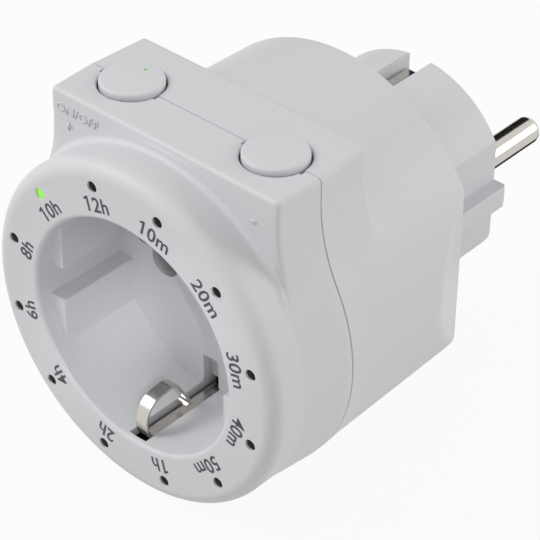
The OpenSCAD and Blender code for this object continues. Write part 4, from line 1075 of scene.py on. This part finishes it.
# Finishes inside the shells: colour, its spread, grain in millimetres, roughness, metallic, and nodes
INNER_FINISHES = {
    # Glass-filled polyamide: dull and nearly black
    "Polyamide_dark": ("#29292B", 0.02, 0.5, 0.45, 0, "contact_carrier plunger_plus plunger_minus"),
    # Green solder mask over glass fibre board: a thin lacquer with a soft gleam
    "Solder_mask": ("#14502C", 0.06, 0.8, 0.32, 0, "button_board light_board main_board"),
    # Tinned sheet and legs: a cool, slightly clouded silver
    "Tinned_cover": ("#B9BABC", 0.05, 0.4, 0.3, 1, "switch_plus switch_minus fuse_caps chip_legs"),
    # Ribbon cable in soft PVC: flat mid grey
    "Ribbon_PVC": ("#9A9A9C", 0.03, 0.6, 0.5, 0, "button_ribbon light_ribbon"),
    # Black moulded mask: matt, so that no light strays between the lenses
    "Matt_black_mask": ("#050505", 0.05, 0.3, 0.8, 0, "light_mask"),
    # Rolled spring brass: warm and bright
    "Bright_brass": ("#C9A45A", 0.05, 0.4, 0.25, 1,
                     "contact_left contact_right busbar_left busbar_right relay_blade relay_anvil"),
    # Nickel plate over brass strip: a warm bright grey
    "Nickel_bridge": ("#BFBBB4", 0.05, 0.4, 0.25, 1, "earth_bridge"),
    # Zinc-plated steel screws: a dull blue-white metal
    "Zinc_screw": ("#A5A6A8", 0.06, 0.3, 0.32, 1, "insert_screws housing_screws"),
    # Moulded PBT of the relay: black below, dark blue above
    "Relay_base_PBT": ("#0D0D0E", 0.03, 0.4, 0.5, 0, "relay_base"),
    "Relay_case_PBT": ("#12214A", 0.03, 0.6, 0.3, 0, "relay_cover"),
    # Unfilled PBT of the bobbin: a creamy white
    "Bobbin_PBT": ("#D9D2B8", 0.02, 0.5, 0.45, 0, "relay_bobbin"),
    # Enamelled copper wire, wound: a reddish brown that shimmers turn by turn
    "Enamelled_copper": ("#A85F32", 0.12, 0.12, 0.3, 1, "relay_coil"),
    # Annealed soft iron: a plain grey with little shine
    "Soft_iron": ("#77787A", 0.06, 0.5, 0.4, 1, "relay_core relay_yoke relay_armature"),
    # Potted film capacitor in a moulded box: glossy ochre
    "Film_box": ("#C99A25", 0.03, 0.6, 0.3, 0, "film_capacitor"),
    # Heat-shrunk sleeve: dark blue and glossy
    "Shrink_sleeve": ("#141B48", 0.04, 0.7, 0.25, 0, "electrolytic"),
    # Dipped epoxy: blue, with an uneven glossy skin
    "Varistor_epoxy": ("#1E4A9C", 0.05, 0.6, 0.3, 0, "varistor"),
    # Glazed ceramic tube: off-white and shiny
    "Glazed_ceramic": ("#DDD8C9", 0.03, 0.5, 0.2, 0, "fuse_body"),
    # Baked lacquer: a sandy beige with a low sheen
    "Resistor_lacquer": ("#B9A679", 0.06, 0.4, 0.45, 0, "resistors"),
    # Filled moulding epoxy: black and slightly rough
    "Moulded_epoxy": ("#0B0B0C", 0.05, 0.3, 0.5, 0, "diodes microcontroller"),
}


class TIMER_OT_insides(Operator):
    """Finish the boards, relay, contacts and components inside the shells"""

    bl_idname = "timer.insides"
    bl_label = "Insides"

    def execute(self, context):
        for name, (code, spread, grain, roughness, metallic, nodes) in INNER_FINISHES.items():
            material, tree, shader, place = fresh_material(name)
            varied(tree, place, shader, linear(code), spread, grain * MM, 0.1, roughness, swing=0.05)
            shader.inputs["Metallic"].default_value = metallic
            for node in nodes.split():
                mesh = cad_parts[node].data
                mesh.materials.clear()
                mesh.materials.append(material)
        return {"FINISHED"}


def background_rays(tree):
    """A node that is one for the rays that show the background: seen, mirrored and shining through."""
    rays = add_node(tree, "ShaderNodeLightPath")
    seen = add_node(tree, "ShaderNodeMath", {}, {0: (rays, "Is Camera Ray"), 1: (rays, "Is Glossy Ray")},
                    operation="MAXIMUM")
    return add_node(tree, "ShaderNodeMath", {}, {0: (seen, "Value"), 1: (rays, "Is Transmission Ray")},
                    operation="MAXIMUM")


# Lamps: name, kind, azimuth and elevation in degrees, distance and width in metres, power in watts, and the
# place that it aims at, sideways, along and up in millimetres. The spots aim through the recess's mouth.
LAMPS = (("key", "AREA", -52, 40, 1.2, 0.6, 7.9, (0, -35, 0)),
         ("back_light", "AREA", 140, 20, 1.2, 0.6, 4.7, (0, -35, 0)),
         ("fill", "AREA", 70, 12, 1.2, 0.6, 1.2, (0, -35, 0)),
         ("recess_spot", "SPOT", 50, 35, 0.5, 0.008, 4.8, (0, -67.17, 0)),
         ("floor_spot", "SPOT", 24, 10, 0.5, 0.02, 1.8, (4, -67.17, 6)))
# Radius of the spots' light at that place, and the share of it that fades
SPOT_R = 12 * MM
SPOT_BLEND = 0.5

# Velvet cards that the bright metal mirrors: name, middle, two directions, and half lengths, in millimetres
CARDS = (("flag_above", (-235, 245, 150), (0.53, 0, 0.848), (0.51, 0.8, -0.32), 200, 120),
         ("flag_under", (8, 42, -29), (1, 0, 0), (0, 1, 0), 14, 26))

# Height of the floor, half its width in metres, and the share of plain white in what is seen of it
GROUND = -29.75 * MM
FLOOR_HALF = 3.0
WHITE_SHARE = 0.93


class TIMER_OT_studio(Operator):
    """Lay the floor, hang the cards, light the timer softly and set the camera"""

    bl_idname = "timer.studio"
    bl_label = "Studio"

    def execute(self, context):
        scene = context.scene
        values = scene.timer_studio
        corners = np.array([[-1, -1], [1, -1], [1, 1], [-1, 1]]) * FLOOR_HALF
        mesh = bpy.data.meshes.new("floor")
        mesh.from_pydata(np.column_stack([corners, np.full(4, GROUND)]).tolist(), [], [[0, 1, 2, 3]])
        floor = linked("floor", mesh)
        mesh.materials.append(self.floor_finish(scene.timer_finishes.floor))
        velvet = self.velvet()
        for card in CARDS:
            self.flag(*card, velvet)
        self.world(scene, values.world)
        for name, kind, azimuth, elevation, distance, width, power, target in LAMPS:
            lamp = bpy.data.lights.new(name, kind)
            lamp.energy = power
            if kind == "AREA":
                lamp.shape = "SQUARE"
                lamp.size = width
            else:
                lamp.shadow_soft_size = width
                lamp.spot_size = 2 * math.atan(SPOT_R / distance)
                lamp.spot_blend = SPOT_BLEND
            a, e = math.radians(azimuth), math.radians(elevation)
            way = Vector((math.sin(a) * math.cos(e), -math.cos(a) * math.cos(e), math.sin(e)))
            holder = bpy.data.objects.new(name, lamp)
            scene.collection.objects.link(holder)
            holder.matrix_world = (Matrix.Translation(Vector(target) * MM + way * distance)
                                   @ way.to_track_quat("Z", "Y").to_matrix().to_4x4())
        self.camera(scene, values)
        scene.view_settings.view_transform = "Standard"
        return {"FINISHED"}

    def flag(self, name, centre, right, up, half_right, half_up, finish):
        """A rectangular card: its corners are its middle plus or minus each half side."""
        right, up = np.array(right) * half_right, np.array(up) * half_up
        points = (np.array(centre) + np.array([-right - up, right - up, right + up, up - right])) * MM
        mesh = bpy.data.meshes.new(name)
        mesh.from_pydata(points.tolist(), [], [[0, 1, 2, 3]])
        mesh.materials.append(finish)
        linked(name, mesh)

    def velvet(self):
        """Black velvet of the cards that darken what the bright metal mirrors. Other rays pass through it."""
        material, tree, shader, place = fresh_material("Black_velvet")
        varied(tree, place, shader, linear("#0C0B0A"), spread=0.1, grain=2 * MM, bump=0.02, roughness=0.9,
               swing=0.03)
        rays = add_node(tree, "ShaderNodeLightPath")
        clear = add_node(tree, "ShaderNodeBsdfTransparent")
        mixed = add_node(tree, "ShaderNodeMixShader",
                         links={0: (rays, "Is Glossy Ray"), 1: (clear, "BSDF"), 2: (shader, "BSDF")})
        shown(tree, mixed, "Shader")
        return material

    def floor_finish(self, colour):
        """Matt white card: seen straight it is mostly plain white, so that only its shadows grey it."""
        material, tree, shader, place = fresh_material("White_card")
        varied(tree, place, shader, colour, spread=0.01, grain=4 * MM, bump=0.02, roughness=0.9, swing=0.03)
        shader.inputs["Specular IOR Level"].default_value = 0.1
        white = add_node(tree, "ShaderNodeEmission", {"Color": (1, 1, 1, 1), "Strength": 1.0})
        seen = background_rays(tree)
        share = add_node(tree, "ShaderNodeMath", {1: WHITE_SHARE}, {0: (seen, "Value")}, operation="MULTIPLY")
        mixed = add_node(tree, "ShaderNodeMixShader",
                         links={0: (share, "Value"), 1: (shader, "BSDF"), 2: (white, "Emission")})
        shown(tree, mixed, "Shader")
        return material

    def world(self, scene, strength):
        """White where it is seen or mirrored, and a plain soft light elsewhere."""
        world = bpy.data.worlds.new("studio")
        world.use_nodes = True
        tree = world.node_tree
        tree.nodes.clear()
        seen = background_rays(tree)
        light = add_node(tree, "ShaderNodeMapRange", {"To Min": strength, "To Max": 1.0},
                         {"Value": (seen, "Value")})
        back = add_node(tree, "ShaderNodeBackground", {"Color": (1, 1, 1, 1)},
                        {"Strength": (light, "Result")})
        add_node(tree, "ShaderNodeOutputWorld", links={"Surface": (back, "Background")})
        scene.world = world

    def camera(self, scene, values):
        """The camera looks back along its axis. Right and up are turned by the roll, and its place is the
        distance along the axis plus the two shifts in its plane."""
        cos, sin = math.cos, math.sin
        az, el, roll = values.azimuth, values.elevation, values.roll
        back = Vector((sin(az) * cos(el), -cos(az) * cos(el), sin(el)))
        level = Vector((cos(az), sin(az), 0))
        rise = back.cross(level)
        right = level * cos(roll) + rise * sin(roll)
        up = rise * cos(roll) - level * sin(roll)
        matrix = Matrix((right, up, back)).transposed().to_4x4()
        matrix.translation = back * values.distance + right * values.right + up * values.up
        data = bpy.data.cameras.new("camera")
        data.lens = values.lens
        data.clip_start = 0.01
        camera = bpy.data.objects.new("camera", data)
        scene.collection.objects.link(camera)
        camera.matrix_world = matrix
        scene.camera = camera


class TIMER_PT_panel(Panel):
    """Sizes, finishes and steps of the countdown timer switch"""

    bl_idname = "TIMER_PT_panel"
    bl_label = "Timer switch"
    bl_space_type = "VIEW_3D"
    bl_region_type = "UI"
    bl_category = "Timer switch"

    def draw(self, context):
        for group in GROUPS:
            box = self.layout.box()
            values = getattr(context.scene, group)
            for key in type(values).__annotations__:
                box.prop(values, key)
        for step in STEPS:
            self.layout.operator(step.bl_idname)


STEPS = (TIMER_OT_front_shell, TIMER_OT_rear_shell, TIMER_OT_buttons, TIMER_OT_contacts, TIMER_OT_lights,
         TIMER_OT_marks, TIMER_OT_insides, TIMER_OT_studio)


def register():
    for group in GROUPS.values():
        bpy.utils.register_class(group)
    for name, group in GROUPS.items():
        setattr(bpy.types.Scene, name, PointerProperty(type=group))
    for step in STEPS + (TIMER_PT_panel,):
        bpy.utils.register_class(step)


def unregister():
    for step in STEPS + (TIMER_PT_panel,):
        bpy.utils.unregister_class(step)
    for name, group in GROUPS.items():
        delattr(bpy.types.Scene, name)
        bpy.utils.unregister_class(group)


def main():
    """Registers the add-on and runs its steps in order."""
    register()
    for step in STEPS:
        family, name = step.bl_idname.split(".")
        getattr(getattr(bpy.ops, family), name)()


if __name__ == "__main__":
    main()
